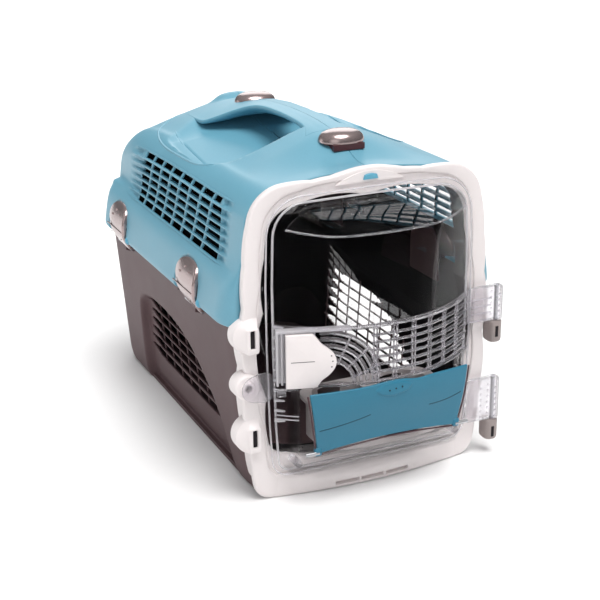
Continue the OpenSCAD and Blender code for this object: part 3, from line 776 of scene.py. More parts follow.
def tray_floor():
    """The tray's floor: the plan of the wall's foot drawn in to a line, with a shallow pan and two runners."""
    w = float(tray_half_width(0.0))
    end = 250.6
    turn = np.radians(np.linspace(0, 90, 12))
    r = end - CORNER_Y
    half = np.vstack([[[0, -172]], np.stack([np.linspace(20, w, 8), np.full(8, -172.0)], 1),
                      [[w, 0], [w, CORNER_Y]],
                      np.stack([w - r + r * np.cos(turn), CORNER_Y + r * np.sin(turn)], 1), [[0, end]]])
    outline = np.vstack([half, half[::-1][1:-1] * [-1, 1]])
    rings = []
    for share, z in ((1.0, 0.0), (0.93, 0.0), (0.90, 1.6), (0.6, 1.6), (0.3, 1.6), (0.05, 1.6)):
        ring = outline.copy()
        ring[:, 0] *= share
        ring[:, 1] = 40 + (ring[:, 1] - 40) * share
        rings.append(np.column_stack([ring, np.full(len(ring), z)]))
    upper = [np.column_stack([r[:, :2], np.full(len(r), 4.2)]) for r in rings[::-1]]
    return loft(np.array(rings[::-1] + upper[::-1]))


put("tray_floor", *tray_floor(), "base", BASE, "base_plastic")


def tray_lip():
    """A thin upright lip inside the tray's top edge, which closes the split line from within."""
    turn = np.radians(np.linspace(0, 90, 14))
    w, r, end = TOP_W - 5.0, 34.0, 252.6
    half = np.vstack([np.stack([np.full(40, w), np.linspace(-171, end - r, 40)], 1),
                      np.stack([w - r + r * np.cos(turn), end - r + r * np.sin(turn)], 1)])
    path = np.vstack([half, half[::-1] * [-1, 1]])
    return bar(np.column_stack([path, np.full(len(path), 190.0)]), 0.5, 10.0, (0, 0, 1), 8)


# the lip takes the near-black inside finish: painted shade
put("tray_lip", *tray_lip(), "base", INSIDE_SHADE, "base_plastic")


def vent_bars(side):
    """Upright bars just behind the slots of a side panel; each follows the leaning wall."""
    parts = []
    for k in range(9):
        y = -92 + 28.5 * k
        top = float(np.interp(y, ARCH_Y, ARCH_Z)) - 6
        z = np.linspace(30, max(44, top), 9)
        x = tray_half_width(z) - 9.5 - 3.6
        parts.append(bar(np.stack([side * x, np.full(9, y), z], 1), 0.8, 1.0, (side, 0, 0), 8))
    return joined(parts)


def clip_seats():
    """Brackets that carry the hinge pins, each with an upright plate that closes the tray behind a clip."""
    parts = []
    for side in (LEFT, RIGHT):
        for yc in CLIP_YS.values():
            dome = np.vstack([[[30, 170]], arc(0, 202, 30, 0, 180, 16), [[-30, 170]]])
            ring = [np.column_stack([np.full(len(dome), side * x), dome[:, 0] + yc, dome[:, 1]])
                    for x in (128.6, 128.4, 130.9, 130.7)]
            parts.append(loft(ring))
            foot = np.array([(134, 168), (145.5, 172), (145.5, 184), (149.3, 189), (149.3, 192.6), (141.8, 192.6),
                             (141.8, 189), (133, 189)], float)
            block = [np.column_stack([side * foot[:, 0], np.full(8, yc + y), foot[:, 1]]) for y in (-7.9, 7.9)]
            parts.append(loft(block))
    return joined(parts)


for side, word in ((LEFT, "left"), (RIGHT, "right")):
    put("vent_bars_" + word, *vent_bars(side), "base", BASE, "base_plastic")
put("clip_seats", *clip_seats(), "base", BASE, "base_plastic", crease=30)

# ---------------------------------------------------------------- front frame

FRAME_FACE, FRAME_BACK = -200.0, -172.3
HEART = np.array([0.0, 165.0])
FRAME_OUT = both_sides([[[x, 0] for x in range(0, 100, 12)], arc(108, 20, 20, -90, -4),
                        [[130, 40], [132.4, 70], [134.4, 140], [135.2, 207], [133.4, 250]],
                        arc(88.5, 286, 40, 8, 84),
                        [[60, 325.6], [40, 327.6], [26, 330.5], [11, 333], [0, 333.4]]])
MOUTH = both_sides([[[0, 47]], arc(92, 66, 19, -90, -5), [[112, 110], [113.4, 200], [111, 255]],
                   arc(76, 270, 34, 0, 88), [[0, 304.6]]])


def door_outline(g):
    """Outline of the door, moved inwards by g."""
    return both_sides([[[0, 25 + g]], arc(92, 45, 20 - g, -90, -8), [[114 - g, 80], [115.6 - g, 160],
                      [115.6 - g, 230]], arc(74, 276, 40 - g, 0, 86), [[0, 316.6 - g]]])


def ring_between(outer, inner, section, count=420):
    """A ring of material between two outlines: the section gives, for each line round the ring, its share of
    the way from the outer outline to the inner one, and its y."""
    angles = np.linspace(-np.pi / 2, 1.5 * np.pi, count, endpoint=False)
    a, b = radial(outer, HEART, angles), radial(inner, HEART, angles)
    rings = []
    for share, y in section:
        r = a + (b - a) * share
        rings.append(np.stack([HEART[0] + r * np.cos(angles), np.broadcast_to(y, r.shape),
                               HEART[1] + r * np.sin(angles)], 1))
    points = np.array(rings).reshape(-1, 3)
    n = len(rings)
    faces = sheet_faces(n, count, wrap=True)
    i = np.arange(count)
    k = (i + 1) % count
    closing = np.stack([(n - 1) * count + i, (n - 1) * count + k, k, i], 1)
    return points, [np.vstack([faces, closing])]


def frame_ring():
    """The white front frame: broad, softly crowned face with rounded rims and a fine groove that follows the
    door's outline."""
    count = 420
    angles = np.linspace(-np.pi / 2, 1.5 * np.pi, count, endpoint=False)
    a, b = radial(FRAME_OUT, HEART, angles), radial(MOUTH, HEART, angles)
    groove = (a - radial(door_outline(-1.2), HEART, angles)) / (a - b)
    face = FRAME_FACE
    section = [(0.14, FRAME_BACK), (0.14, -192.7), (0.005, -193.0), (0.0, -193.4), (0.0, -197.4), (0.012, -198.7),
               (0.035, -199.5), (0.07, -199.95), (0.12, face)]
    section += [(np.clip(groove + d, 0.2, 0.9), face + h) for d, h in (
        (-0.06, 0.0), (-0.042, 0.1), (-0.03, 0.5), (-0.02, 2.0), (0.03, 2.0), (0.045, 1.6))]
    section += [(0.90, face + 1.6), (0.955, face + 1.9), (0.985, face + 2.8), (1.0, face + 4.5), (0.98, face + 6),
                (0.94, face + 6.2), (0.94, FRAME_BACK)]
    return ring_between(FRAME_OUT, MOUTH, section, count)


def sill():
    """The bowed sill: a section that rolls forward under the door and back under the frame, carried across
    on a shallow arc, with three slots let into its face."""
    x = stepped((-106, 3), (-42.4, 0.4), (-42, 2.6), (-16, 0.4), (-15.6, 1), (-13.4, 0.4), (-13, 2.6), (13, 0.4),
                (13.4, 1), (15.6, 0.4), (16, 2.6), (42, 0.4), (42.4, 3), 106)
    bow = 11.8 * (1 - (x / 106) ** 2)
    z_line = [25.5, 24.6, 22.5, 19, 14, 10, 8.4, 8.0, 4.6, 4.2, 2.2, 1.0, 0.6, 0.6]
    out = [0.0, 0.25, 0.6, 0.85, 0.98, 1.0, 1.0, 1.0, 1.0, 1.0, 0.97, 0.90, 0.75, -0.6]
    rows = []
    for z, share in zip(z_line, out):
        rows.append(np.stack([x, -199.6 - bow * share, np.full(len(x), z)], 1))
    points = np.array(rows)
    cut = np.any([np.abs(points[..., 0] - middle) <= 13.05 for middle in (-29, 0, 29)], 0)
    deep = cut & (points[..., 2] <= 8.05) & (points[..., 2] >= 4.55)
    points[..., 1] += 5.0 * deep
    back = points[[0, -1]].copy()
    back[..., 1] = -190
    points = np.concatenate([back[:1], points, back[1:]])
    for end in (0, -1):
        points[:, end, 1] = np.minimum(-199.0, points[:, end, 1])
    return points.reshape(-1, 3), [sheet_faces(len(points), len(x))]


def rounded_rect(cx, cz, half_x, half_z, power, count=48):
    """A closed superellipse in x and z."""
    t = np.linspace(0, 2 * np.pi, count, endpoint=False)
    c, s = np.cos(t), np.sin(t)
    return np.stack([cx + half_x * np.sign(c) * np.abs(c) ** (2 / power),
                     cz + half_z * np.sign(s) * np.abs(s) ** (2 / power)], 1)


def at_y(outline, y):
    """An x-z outline stood up at y."""
    return np.stack([outline[:, 0], np.broadcast_to(y, len(outline)), outline[:, 1]], 1)


SLOT_X, SLOT_HALF = -128.6, 9.2
LUGS = (("upper", 160.5, 199.5, 178), ("lower", 54.5, 94, 73))  # bottom, top and the slot's middle


def side_lug(z0, z1, slot_z):
    """A lug on the frame's left edge: a thick half-round lobe whose face slopes forward to a flat block with
    a deep slot; the block's top slopes down to the front."""
    mid, high = (z0 + z1) / 2, (z1 - z0) / 2
    t = np.linspace(0, 2 * np.pi, 72, endpoint=False)
    flat = -121.5

    def lobe(inset):
        """The half-round outline, drawn in by inset."""
        x = -147 + high + (high - inset) * np.cos(t)
        return np.stack([np.minimum(x, flat), mid + (high - inset) * np.sin(t)], 1)

    def block(inset):
        """The flat block's outline in front of the lobe."""
        return rounded_rect(flat - 7, slot_z - 1.6, 7 - inset, high - 6 - inset, 7, 72)

    def slot(edge):
        """The slot's outline, let out by edge."""
        return rounded_rect(SLOT_X, slot_z, 2.5 + edge, SLOT_HALF + 0.2 + edge, 9, 72)

    return loft([at_y(lobe(0), -186), at_y(lobe(0), -198.4), at_y(lobe(0.5), -199.6), at_y(lobe(1.8), -200.3),
                 at_y(block(0), -205.6), at_y(block(0.7), -206.7), at_y(block(1.6), -207.0),
                 at_y(slot(0.4), -207.0), at_y(slot(0.1), -206.5), at_y(slot(0), -201.0)])


def strike_disc():
    """The latch strike: a round boss with a rolled rim, a raised ring and a deep eye in its middle."""
    profile = [(13.5, -187), (13.5, -200), (12.9, -202.6), (11.2, -203.9), (7.4, -204.0), (6.9, -206.2),
               (6.0, -206.9), (4.4, -206.9), (3.6, -206.0), (3.4, -200.0)]
    return lathe(profile, lambda u, v, h: np.stack([-134 + u, h, 128 + v], 1), 40)


def hinge_lugs():
    """Lugs on the right edge that hold the door's hinge pins: rounded at the bottom, with a slot in front."""
    parts = []
    for z0, z1 in ((129.4, 153.8), (16.4, 40.4)):
        t = np.linspace(0, 2 * np.pi, 40, endpoint=False)
        rings = []
        for z, inset in ((z0, 3.4), (z0 + 0.8, 1.6), (z0 + 2.4, 0.5), (z0 + 5, 0.1), (z1 - 1.2, 0), (z1, 0.7)):
            c = np.sign(np.cos(t)) * np.abs(np.cos(t)) ** 0.7
            s = np.sign(np.sin(t)) * np.abs(np.sin(t)) ** 0.7
            rings.append(np.stack([144.6 + (8.0 - inset) * c, -202.5 + (10.3 - inset) * s,
                                   np.full(len(t), z)], 1))
        parts.append(loft(rings))
    return joined(parts)


put("frame_ring", *frame_ring(), "base", FRAME, "frame_plastic", ["front_frame"], crease=40)
# a near-black ring round the inside of the frame's mouth: painted shade on the white frame
mouth_shade_section = [(0.9, FRAME_BACK), (0.9, -192.6), (0.99, -193.2), (0.99, FRAME_BACK)]
put("mouth_shade_ring", *ring_between(FRAME_OUT, MOUTH, mouth_shade_section), "base", INSIDE_SHADE, "frame_plastic", crease=40)
put("frame_sill", *sill(), "base", FRAME, "frame_plastic", inside=(0, -185, 12), crease=40)
for name, z0, z1, slot_z in LUGS:
    put("frame_lug_" + name, *side_lug(z0, z1, slot_z), "base", FRAME, "frame_plastic", crease=32)
put("latch_strike", *strike_disc(), "base", FRAME, "frame_plastic", crease=32)
# the hinge lugs are white plastic coloured grey-brown: painted shade
put("hinge_lugs", *hinge_lugs(), "base", LUG_SHADE, "frame_plastic", crease=32)
# near-black blocks set into the lugs' slots: painted shade inside the slots
for name, z in (("upper", 142.5), ("lower", 27)):
    dark = rounded_block((142.4, -213.2, z - 6), (145.8, -212.0, z + 6), 0.4)
    put("hinge_lug_slot_" + name, *dark, "base", SHADE, "frame_plastic")
for name, z0, z1, slot_z in LUGS:
    low, high = slot_z - SLOT_HALF, slot_z + SLOT_HALF
    dark = rounded_block((SLOT_X - 2.4, -205.0, low), (SLOT_X + 2.4, -202.0, high), 0.3)
    put("lug_slot_" + name, *dark, "base", SHADE, "frame_plastic")


def crowned(half, count, foot, crown):
    """A closed x-z outline with a level foot and a crowned top, whose height crown gives for x."""
    x = np.linspace(-half, half, count)
    back = x[::-1][1:-1]
    return np.vstack([np.stack([x, np.full(count, foot)], 1), np.stack([back, crown(back)], 1)])


panel = crowned(37, 24, 318.6, lambda x: 319.2 + 10.4 * (1 - (x / 37) ** 2))
put("lock_panel", *plate(panel, -198.5, -200.9, 0.6), "base", FRAME, "frame_plastic", crease=30)
tab = crowned(8, 12, 321.4, lambda x: 325.2 + 1.6 * np.cos(1.5 * x / 8))
put("lock_tab", *plate(tab, -178, -203.4, 1.2), "lock_button", TAB_BLUE, "hatch_plastic",
    ["frame_lock_button"], crease=30)

# ---------------------------------------------------------------- clear door

RIM_BACK, RIM_FACE = -200.8, -205.2
BULGE_EDGE, BULGE = -207.5, -44.0
PROFILE_Z = [26, 29, 40, 56, 80, 130, 190, 235, 272, 295, 306, 311]
PROFILE_Y = [-211, -220, -236, -247, -252.6, -252.8, -252.6, -250, -245, -233, -220, -209]
HATCH_HALF, HATCH_LOW, HATCH_HIGH = 88.5, 60.0, 130.0
GRILLE_LOW, GRILLE_HIGH = 131.0, 190.0


def bulge(x, z, g=0.0):
    """y of the door's bulge: a parabola across, limited by the side profile, with the corner between the two
    rounded; g moves it inwards."""
    plan = BULGE_EDGE + BULGE * (1 - (np.abs(x) / 110) ** 2.2)
    side = smooth_curve(np.ravel(z), PROFILE_Z, PROFILE_Y).reshape(np.shape(z))
    return -soft_min(-plan, -side, 6.0) + g


def door_reach(z):
    """Half width of the bulge at height z."""
    outline = door_outline(7)
    half = outline[:len(outline) // 2]
    return np.interp(z, half[:, 1], half[:, 0])


def door_shell():
    """The clear bulged shell of the door, open at the hatch and the grille."""
    z = stepped((26.6, 2.2), (HATCH_LOW, 3.5), (HATCH_HIGH, 1), (GRILLE_LOW, 4), (GRILLE_HIGH, 3), (290, 2),
                (306, 0.7), 309)
    inner = stepped((-HATCH_HALF, 3.6), HATCH_HALF)
    side = np.linspace(0, 1, 9)
    reach = door_reach(z)[:, None]
    left = -reach + (reach - np.minimum(HATCH_HALF, reach * 0.82)) * side[None, :-1]
    middle = inner[None, :] * np.minimum(1, reach * 0.82 / HATCH_HALF)
    x = np.concatenate([left, middle, -left[:, ::-1]], 1)
    zz = np.repeat(z[:, None], x.shape[1], 1)
    y = bulge(x, zz)
    edge = smoothstep(0.965, 1.0, np.abs(x) / reach)
    y = y + (-205.0 - y) * edge
    hole = np.zeros((len(z) - 1, x.shape[1] - 1), bool)
    cols = slice(len(side) - 1, len(side) - 1 + len(inner) - 1)
    zc = (z[:-1] + z[1:]) / 2
    hole[(zc > HATCH_LOW) & (zc < HATCH_HIGH), cols] = True
    hole[(zc > GRILLE_LOW) & (zc < GRILLE_HIGH), cols] = True
    return used(np.stack([x, y, zz], -1).reshape(-1, 3), sheet_faces(len(z), x.shape[1], hole))


def on_bulge(x, z, g=0.0):
    """Points on the door's bulge over x and z, moved inwards by g."""
    x, z = np.broadcast_arrays(np.asarray(x, float), np.asarray(z, float))
    return np.stack([x, bulge(x, z, g), z], -1)


def hatch_face(t, up):
    """Points of the hatch: t runs across from -1 to 1 and up from 0 to 1. It bows forward along the top, is
    nearly flat at the foot, and narrows downwards; the foot's edge rises a little in the middle."""
    half = 78.0 + 10.0 * np.clip(up, 0, 1) ** 0.9
    low = 62.8 + 5.5 * (1 - t ** 2)
    top = (128.6 + 0.8 * (1 - t ** 2) + 2.2 * np.exp(-((t * 88 + 2) / 22) ** 2)
           - 1.4 * np.exp(-((t * 88 - 27) / 10) ** 2))
    x = t * half
    z = low + (top - low) * up
    bow = (2.0 + 7.0 * smoothstep(0, 1, up)) * (1 - t ** 2)
    y = -244.0 - 3.6 * smoothstep(0, 0.8, up) - bow - 1.4 * np.sin(np.pi * np.clip(up, 0, 1))
    return np.stack([x, y, z], -1)


def visor():
    """The thicker visor at the top of the window, whose lower edge sags in the middle; its rim is a bright
    rounded bead."""
    x = np.linspace(-1, 1, 61)
    t = np.linspace(0, 1, 12)
    low = 279.5 + 8.0 * np.abs(x) ** 2.4
    top = 307.0
    z = low[None, :] + (top - low)[None, :] * t[:, None]
    reach = door_reach(z) - 7
    points = on_bulge(x[None, :] * reach, z, -1.4)
    sheet = (points.reshape(-1, 3), [sheet_faces(len(t), len(x))])
    return sheet, bar(points[0], 1.0, 1.0, (0, 0, 1), 8)


def grille():
    """The grille: level bars across the bulge with knobby upright ribs; left of the ribs the bars bend down
    round the latch in concentric arcs."""
    parts = []
    levels = np.linspace(133.2, 187.5, 8)
    for z in levels[1:-1]:
        x = np.linspace(-22.0, 138 if z > 156 else 107, 44)
        path = on_bulge(x, z, 0.8)
        path[:, 1] = np.minimum(path[:, 1], -208.6)
        parts.append(bar(path, 2.6 - 1.3 * smoothstep(96, 112, x), 0.95, (0, 0, 1), 8))
    for z, high in ((189.6, 1.9), (131.2, 1.5)):
        x = np.linspace(-108, 108, 70)
        parts.append(bar(on_bulge(x, z, 0.4), 3.2, high, (0, 0, 1), 8))
    for x0 in (-19, 2.5, 23.5, 44, 64.5, 86):
        for shift in (-1.7, 1.7):
            z = np.linspace(131.5, 189.5, 57)
            knob = 0.9 + 0.75 * np.exp(-(((z[:, None] - levels[None]) / 1.6) ** 2)).max(1)
            parts.append(bar(on_bulge(x0 + shift, z, -0.2), knob, knob, (1, 0, 0), 6))

    def fan(r, a, g):
        """Points at radius r and angle a round the latch's lower corner."""
        return on_bulge(-64.0 + r * 0.92 * np.cos(a), 131.0 + r * np.sin(a), g)

    for r in (27, 34, 41, 48, 55):
        parts.append(bar(fan(r, np.radians(np.linspace(4, 98, 30)), 0.8), 2.4, 0.95, (0, 1, 0), 8))
    for a in (18, 42, 66):
        parts.append(bar(fan(np.linspace(24, 56, 12), math.radians(a), 0.2), 1.4, 1.2, (0, 1, 0), 6))
    return joined(parts)


def door_teeth():
    """Small teeth down the left inner edge of the bulge, a double rib beside the hatch on each side, and
    short ribs that carry the grille's bars over the flat right side."""
    parts = []
    for k in range(10):
        z = 189 - 10.9 * k
        path = on_bulge(np.linspace(-108.5, -100.5, 5), z, -0.3)
        parts.append(bar(path, np.linspace(2.6, 0.8, 5), np.linspace(1.8, 0.7, 5), (0, 0, 1), 8))
    for z in (97, 93):
        parts.append(bar(on_bulge(np.linspace(-107, -89.5, 8), z, -0.6), 0.8, 0.7, (0, 0, 1), 6))
    parts.append(bar(on_bulge(np.linspace(89.5, 107, 8), 96, -0.6), 0.8, 0.7, (0, 0, 1), 6))
    return joined(parts)


def hatch_surround():
    """The clear frame round the feed hatch: side cheeks, a ledge that carries the dish and a bowed lip."""
    parts = []
    for side in (LEFT, RIGHT):
        lo, hi = sorted((side * 88.7, side * 91.6))
        z = np.linspace(57, 130, 24)
        y = bulge(np.full(24, side * 89.5), z) - 1.0
        outline = np.vstack([np.stack([y, z], 1), [[-204, 130], [-204, 57]]])
        rings = [np.stack([np.full(len(outline), x), outline[:, 0], outline[:, 1]], 1) for x in (lo, hi)]
        parts.append(loft(rings))
    x = np.linspace(-88.4, 88.4, 50)
    parts.append(bar(on_bulge(x, 58.2, 1.2), 2.6, 1.5, (0, 0, 1), 8))
    parts.append(rounded_block((-91, -239, 56.2), (91, -204, 59.4), 0.8))
    return joined(parts)


def latch_place(ring):
    """From the latch's own frame, turned about the upright axis at the door's left front, to the carrier's."""
    a = math.radians(-17)
    x, y = ring[:, 0], ring[:, 1]
    return np.stack([-80 + x * math.cos(a) - y * math.sin(a), -231 + x * math.sin(a) + y * math.cos(a),
                     ring[:, 2]], 1)


def latch_bed():
    """The clear box behind the latch plate, with rails above and below it."""
    parts = []
    for lo, hi in (((-33, 3.0, 134), (6, 5.0, 188)), ((-33, -4, 187.6), (40, 5, 190.4)),
                   ((-33.5, -5, 134), (-31, 5, 189)), ((-28.5, -3, 134), (-26.5, 5, 189))):
        p, f = rounded_block(lo, hi, 0.8)
        parts.append((latch_place(p), f))
    return joined(parts)


def knuckle(z0, z1, columns, pitch):
    """A clear hinge knuckle: a round bar on the pin with a flange back to the door; rows of small dimples
    stand on its front."""
    t = np.linspace(0, 2 * np.pi, 44, endpoint=False)
    rings = []
    for z, inset in ((z0, 1.2), (z0 + 0.8, 0.3), (z0 + 2, 0), (z1 - 3.5, 0), (z1 - 1.6, 0.7), (z1 - 0.4, 2.2),
                     (z1, 3.6)):
        c, s = np.cos(t), np.sin(t)
        x = np.where(c > 0, 146 + (7 - inset) * c, 146 + (35 - inset) * np.sign(c) * np.abs(c) ** 0.6)
        y = -206 + (7 - inset) * np.sign(s) * np.abs(s) ** np.where(c > 0, 1.0, 0.7) * np.where(c > 0, 1, 0.55)
        rings.append(np.stack([x, y, np.full(len(t), z)], 1))
    parts = [loft(rings)]
    n = int((z1 - z0 - 6) / pitch)
    for col in range(columns):
        for row in range(n):
            z = z0 + 4 + pitch * (row + 0.5 * (col % 2))
            x = 146 - 8 * col
            parts.append(bead((x, -212.4 if col == 0 else -209.4, z), (1.5, 0.8, 1.5), 5, 10))
    return joined(parts)


def rim_beads():
    """Two beads that follow the door's outline: one on the rim's edge, one where the bulge begins. Their milky
    finish is a painted highlight.
    """
    parts = []
    for g, y, r in ((1.4, -205.6, 0.9), (7.6, -206.6, 1.1)):
        outline = door_outline(g)
        closed = np.vstack([outline, outline[:1]])
        length = np.concatenate([[0], np.cumsum(np.hypot(*np.diff(closed, axis=0).T))])
        at = np.linspace(0, length[-1], 300)
        x, z = (np.interp(at, length, closed[:, k]) for k in (0, 1))
        parts.append(bar(np.stack([x, np.full(300, y), z], 1), r, r, (0, 1, 0), 8))
    return joined(parts)


def hatch_outline():
    """A dark reddish bead round the feed opening, down both sides and along the bowed foot: painted shade of the
    gap round the hatch.
    """
    up = np.linspace(0.98, 0.0, 20)
    t = np.linspace(-1.0, 1.0, 50)
    left = hatch_face(np.full(20, -1.022), up)
    foot = hatch_face(t * 1.022, np.full(50, -0.028))
    right = hatch_face(np.full(20, 1.022), up[::-1])
    path = np.vstack([left, foot, right]) + [0, 0.8, 0]
    return bar(path, 0.8, 0.8, (0, 1, 0), 8)


def strike_cover():
    """The door's clear tongue that reaches over the strike."""
    t = np.linspace(0, 2 * np.pi, 72, endpoint=False)
    c, q = np.cos(t), np.sin(t)
    x = np.where(c < 0, -126 + 16.2 * c, -126 + 18 * np.sign(c) * np.abs(c) ** 0.5)
    z = 127.5 + np.where(c < 0, 14.2, 15.5) * np.sign(q) * np.abs(q) ** np.where(c < 0, 0.9, 0.8)
    return plate(np.stack([x, z], 1), -207.4, -209.6, 0.7)


rim_section = [(0.0, RIM_BACK), (0.0, RIM_FACE + 0.8), (0.25, RIM_FACE + 0.1), (0.5, RIM_FACE),
               (1.0, RIM_FACE - 0.4), (1.0, RIM_BACK)]
put("door_rim", *ring_between(door_outline(0), door_outline(8.5), rim_section, 300), "door", CLEAR,
    "clear_plastic", ["door_panel"], crease=35)
put("door_shell", *door_shell(), "door", CLEAR, "clear_plastic", inside=(0, -150, 160), crease=60, wall=1.6)
visor_sheet, visor_bead = visor()
put("door_visor", *visor_sheet, "door", CLEAR, "clear_plastic", inside=(0, -150, 290), wall=1.2)
put("door_visor_bead", *visor_bead, "door", CLEAR_RIB, "clear_plastic")
# the teeth, latch bed and rim beads take the milky finish, a painted highlight
for name, maker, finish in (
        ("door_grille", grille, CLEAR_RIB), ("door_teeth", door_teeth, CLEAR_HIGHLIGHT),
        ("hatch_surround", hatch_surround, CLEAR), ("latch_bed", latch_bed, CLEAR_HIGHLIGHT),
        ("strike_cover", strike_cover, CLEAR_RIB),
        ("door_rim_beads", rim_beads, CLEAR_HIGHLIGHT), ("hatch_outline", hatch_outline, HATCH_GAP_SHADE)):
    put(name, *maker(), "door", finish, "clear_plastic", crease=35)
for name, z0, z1, columns, pitch in (("upper", 154.8, 192.8, 2, 6.2), ("lower", 41.2, 89.8, 3, 6.6)):
    put("door_knuckle_" + name, *knuckle(z0, z1, columns, pitch), "door", CLEAR_RIB, "clear_plastic", crease=35)

# ---------------------------------------------------------------- latch plate

LATCH_KNOTS = np.array([
    (-24, 131), (-24, 150), (-24, 186.4), (-8, 186.6), (1.5, 186.4), (6.5, 181.5), (11, 175.6), (17.5, 170.4),
    (23, 164.6), (25.3, 157.5), (23.6, 150.2), (18, 143.4), (11.5, 138.6), (7.5, 133.6), (5, 131), (-8, 130.8)])


def latch_plate():
    """The white latch plate: straight along the left and the top, waisted shoulders and a round nose, with
    rolled rims."""
    n = len(LATCH_KNOTS)
    closed = np.vstack([LATCH_KNOTS, LATCH_KNOTS[:1]])
    t = np.linspace(0, n, 128, endpoint=False)
    outline = np.stack([smooth_curve(t, np.arange(n + 1), closed[:, k]) for k in (0, 1)], 1)
    straight = (t < 4) | (t > 14)
    plain = np.stack([np.interp(t, np.arange(n + 1), closed[:, k]) for k in (0, 1)], 1)
    outline[straight] = plain[straight]
    return plate(outline, -0.6, -5.8, 1.1, latch_place)


put("latch_plate", *latch_plate(), "latch_plate", FRAME, "frame_plastic", ["door_latch"], crease=30)
# a dark line across the latch plate and three dots at its nose: painted shade in a groove and in dimples
marks = [bar(latch_place(np.stack([np.linspace(-19, 4, 12), np.full(12, -5.75), np.full(12, 158.5)], 1)),
             0.25, 0.35, (0, 0, 1), 6)]
for x, z in ((20.2, 163.5), (21.4, 157.8), (20.4, 152.0)):
    p, f = bead((x, -5.7, z), (0.8, 0.35, 0.8), 5, 10)
    marks.append((latch_place(p), f))
put("latch_plate_marks", *joined(marks), "latch_plate", SHADE, "frame_plastic")
bolt = [rounded_block((-33, -4.5, 122.5), (-24.2, -0.8, 130.0), 0.6),
        rounded_block((-24.4, -5.3, 128.8), (-12.2, -0.8, 133.8), 0.5)]
put("latch_bolt", *joined([(latch_place(p), f) for p, f in bolt]), "latch_plate", CLEAR_RIB, "clear_plastic")

# ---------------------------------------------------------------- feed hatch


def feed_hatch():
    """The hatch's bowed panel with its hollow back left open."""
    t, up = np.linspace(-1, 1, 90), np.linspace(0, 1, 40)
    points = hatch_face(t[None, :], up[:, None])
    return points.reshape(-1, 3), [sheet_faces(len(up), len(t))]


put("feed_hatch_panel", *feed_hatch(), "hatch", HATCH, "hatch_plastic", ["feed_hatch"], inside=(0, -200, 100),
    wall=3, bevel=0.8)


def hatch_tab():
    """The lens-shaped finger tab: a pointed oval that swells out of the panel towards its lower edge."""
    a = np.linspace(0, 2 * np.pi, 72, endpoint=False)
    lens_x = 20.5 * np.cos(a)
    lens_z = 6.9 * np.sign(np.sin(a)) * np.abs(np.sin(a)) ** 1.25
    rings = []
    for share, out in ((1.0, -1.5), (1.0, 1.6), (0.985, 2.3), (0.94, 2.75), (0.8, 3.0), (0.55, 3.2),
                       (0.25, 3.25)):
        x, z = lens_x * share - 1, 123.6 + lens_z * share
        y = -255.6 + 0.0026 * x ** 2 - out * (0.55 + 0.45 * np.clip((132 - z) / 14, 0, 1))
        rings.append(np.stack([x, y, z], 1))
    return loft(rings)


put("hatch_tab", *hatch_tab(), "hatch", HATCH, "hatch_plastic", crease=30)
# three dark dots on the finger tab and two dark lines on the hatch: painted shade in dimples and along a crease
marks = [bead((x, -258.5, z), (0.85, 0.5, 0.85), 5, 10) for x, z in ((-7, 122.6), (0, 123.6), (7, 124.4))]
for t0, t1, up0, lift in ((-0.95, -0.30, 0.39, 0.10), (0.50, 0.95, 0.46, 0.12)):
    t = np.linspace(t0, t1, 24)
    up = up0 + lift * ((t - t0) / (t1 - t0)) ** 2
    marks.append(bar(hatch_face(t, up) + [0, -0.05, 0], 0.22, 0.3, (0, 0, 1), 6))
put("hatch_shade_marks", *joined(marks), "hatch", SHADE, "hatch_plastic")
arms = [rounded_block((x, -245.6, 60.6), (x + 8, -240.2, 70), 2.2) for x in (-82.0, 74.0)]
put("hatch_arms", *joined(arms), "hatch", HATCH, "hatch_plastic")

# ---------------------------------------------------------------- side clips

CLIP_Z = [177.5, 180, 186, 193, 198.5, 200.5, 207, 215, 222, 228, 232.5, 235.3]
CLIP_X = [147.4, 148.6, 152.3, 155.6, 156.6, 156.2, 156.4, 154.6, 151.8, 148.6, 145.8, 143.2]


def clip_skin(side, yc):
    """A side clip: rings drawn out from its middle to the outline, which is a dome above and runs down to a
    point at the front foot. The section gives the height of the face; the rim turns in towards the wall."""
    a = np.linspace(0, 2 * np.pi, 120, endpoint=False)
    bend = np.where(np.cos(a) < 0, 0.62, 1.0)
    top = np.stack([32 * np.sign(np.cos(a)) * np.abs(np.cos(a)) ** bend,
                    203 + 26.5 * np.abs(np.sin(a)) ** bend], 1)
    s = np.clip(-np.sin(a), 0, 1)
    low_y = np.where(np.cos(a) > 0, -27 + 59 * np.abs(np.cos(a)) ** 0.9, -32 + 5 * s ** 3)
    low = np.stack([low_y, 203 - 25.3 * s ** np.where(np.cos(a) > 0, 1.0, 0.8)], 1)
    outline = np.where(np.sin(a)[:, None] >= 0, top, low)
    middle = np.array([-4.0, 202.0])
    rings = []
    for share, turn_in in [(s, 0.0) for s in np.linspace(0.06, 0.94, 20)] + [
            (0.965, 0.25), (0.985, 0.8), (1.0, 2.2), (1.0, 6), (1.0, 11), (0.96, 12.5), (0.90, 12.5)]:
        q = middle + (outline - middle) * share
        x = smooth_curve(q[:, 1], CLIP_Z, CLIP_X) - turn_in - 4.5 * (share * np.clip(np.cos(a), 0, 1)) ** 3
        if turn_in >= 6:
            x = np.maximum(x, 140.5)
        rings.append(np.stack([side * x, yc + q[:, 0], q[:, 1]], 1))
    return loft(rings)


def clip_face(z):
    """How far the middle of a clip's face stands from the middle plane at height z."""
    return float(smooth_curve(z, CLIP_Z, CLIP_X)[0])


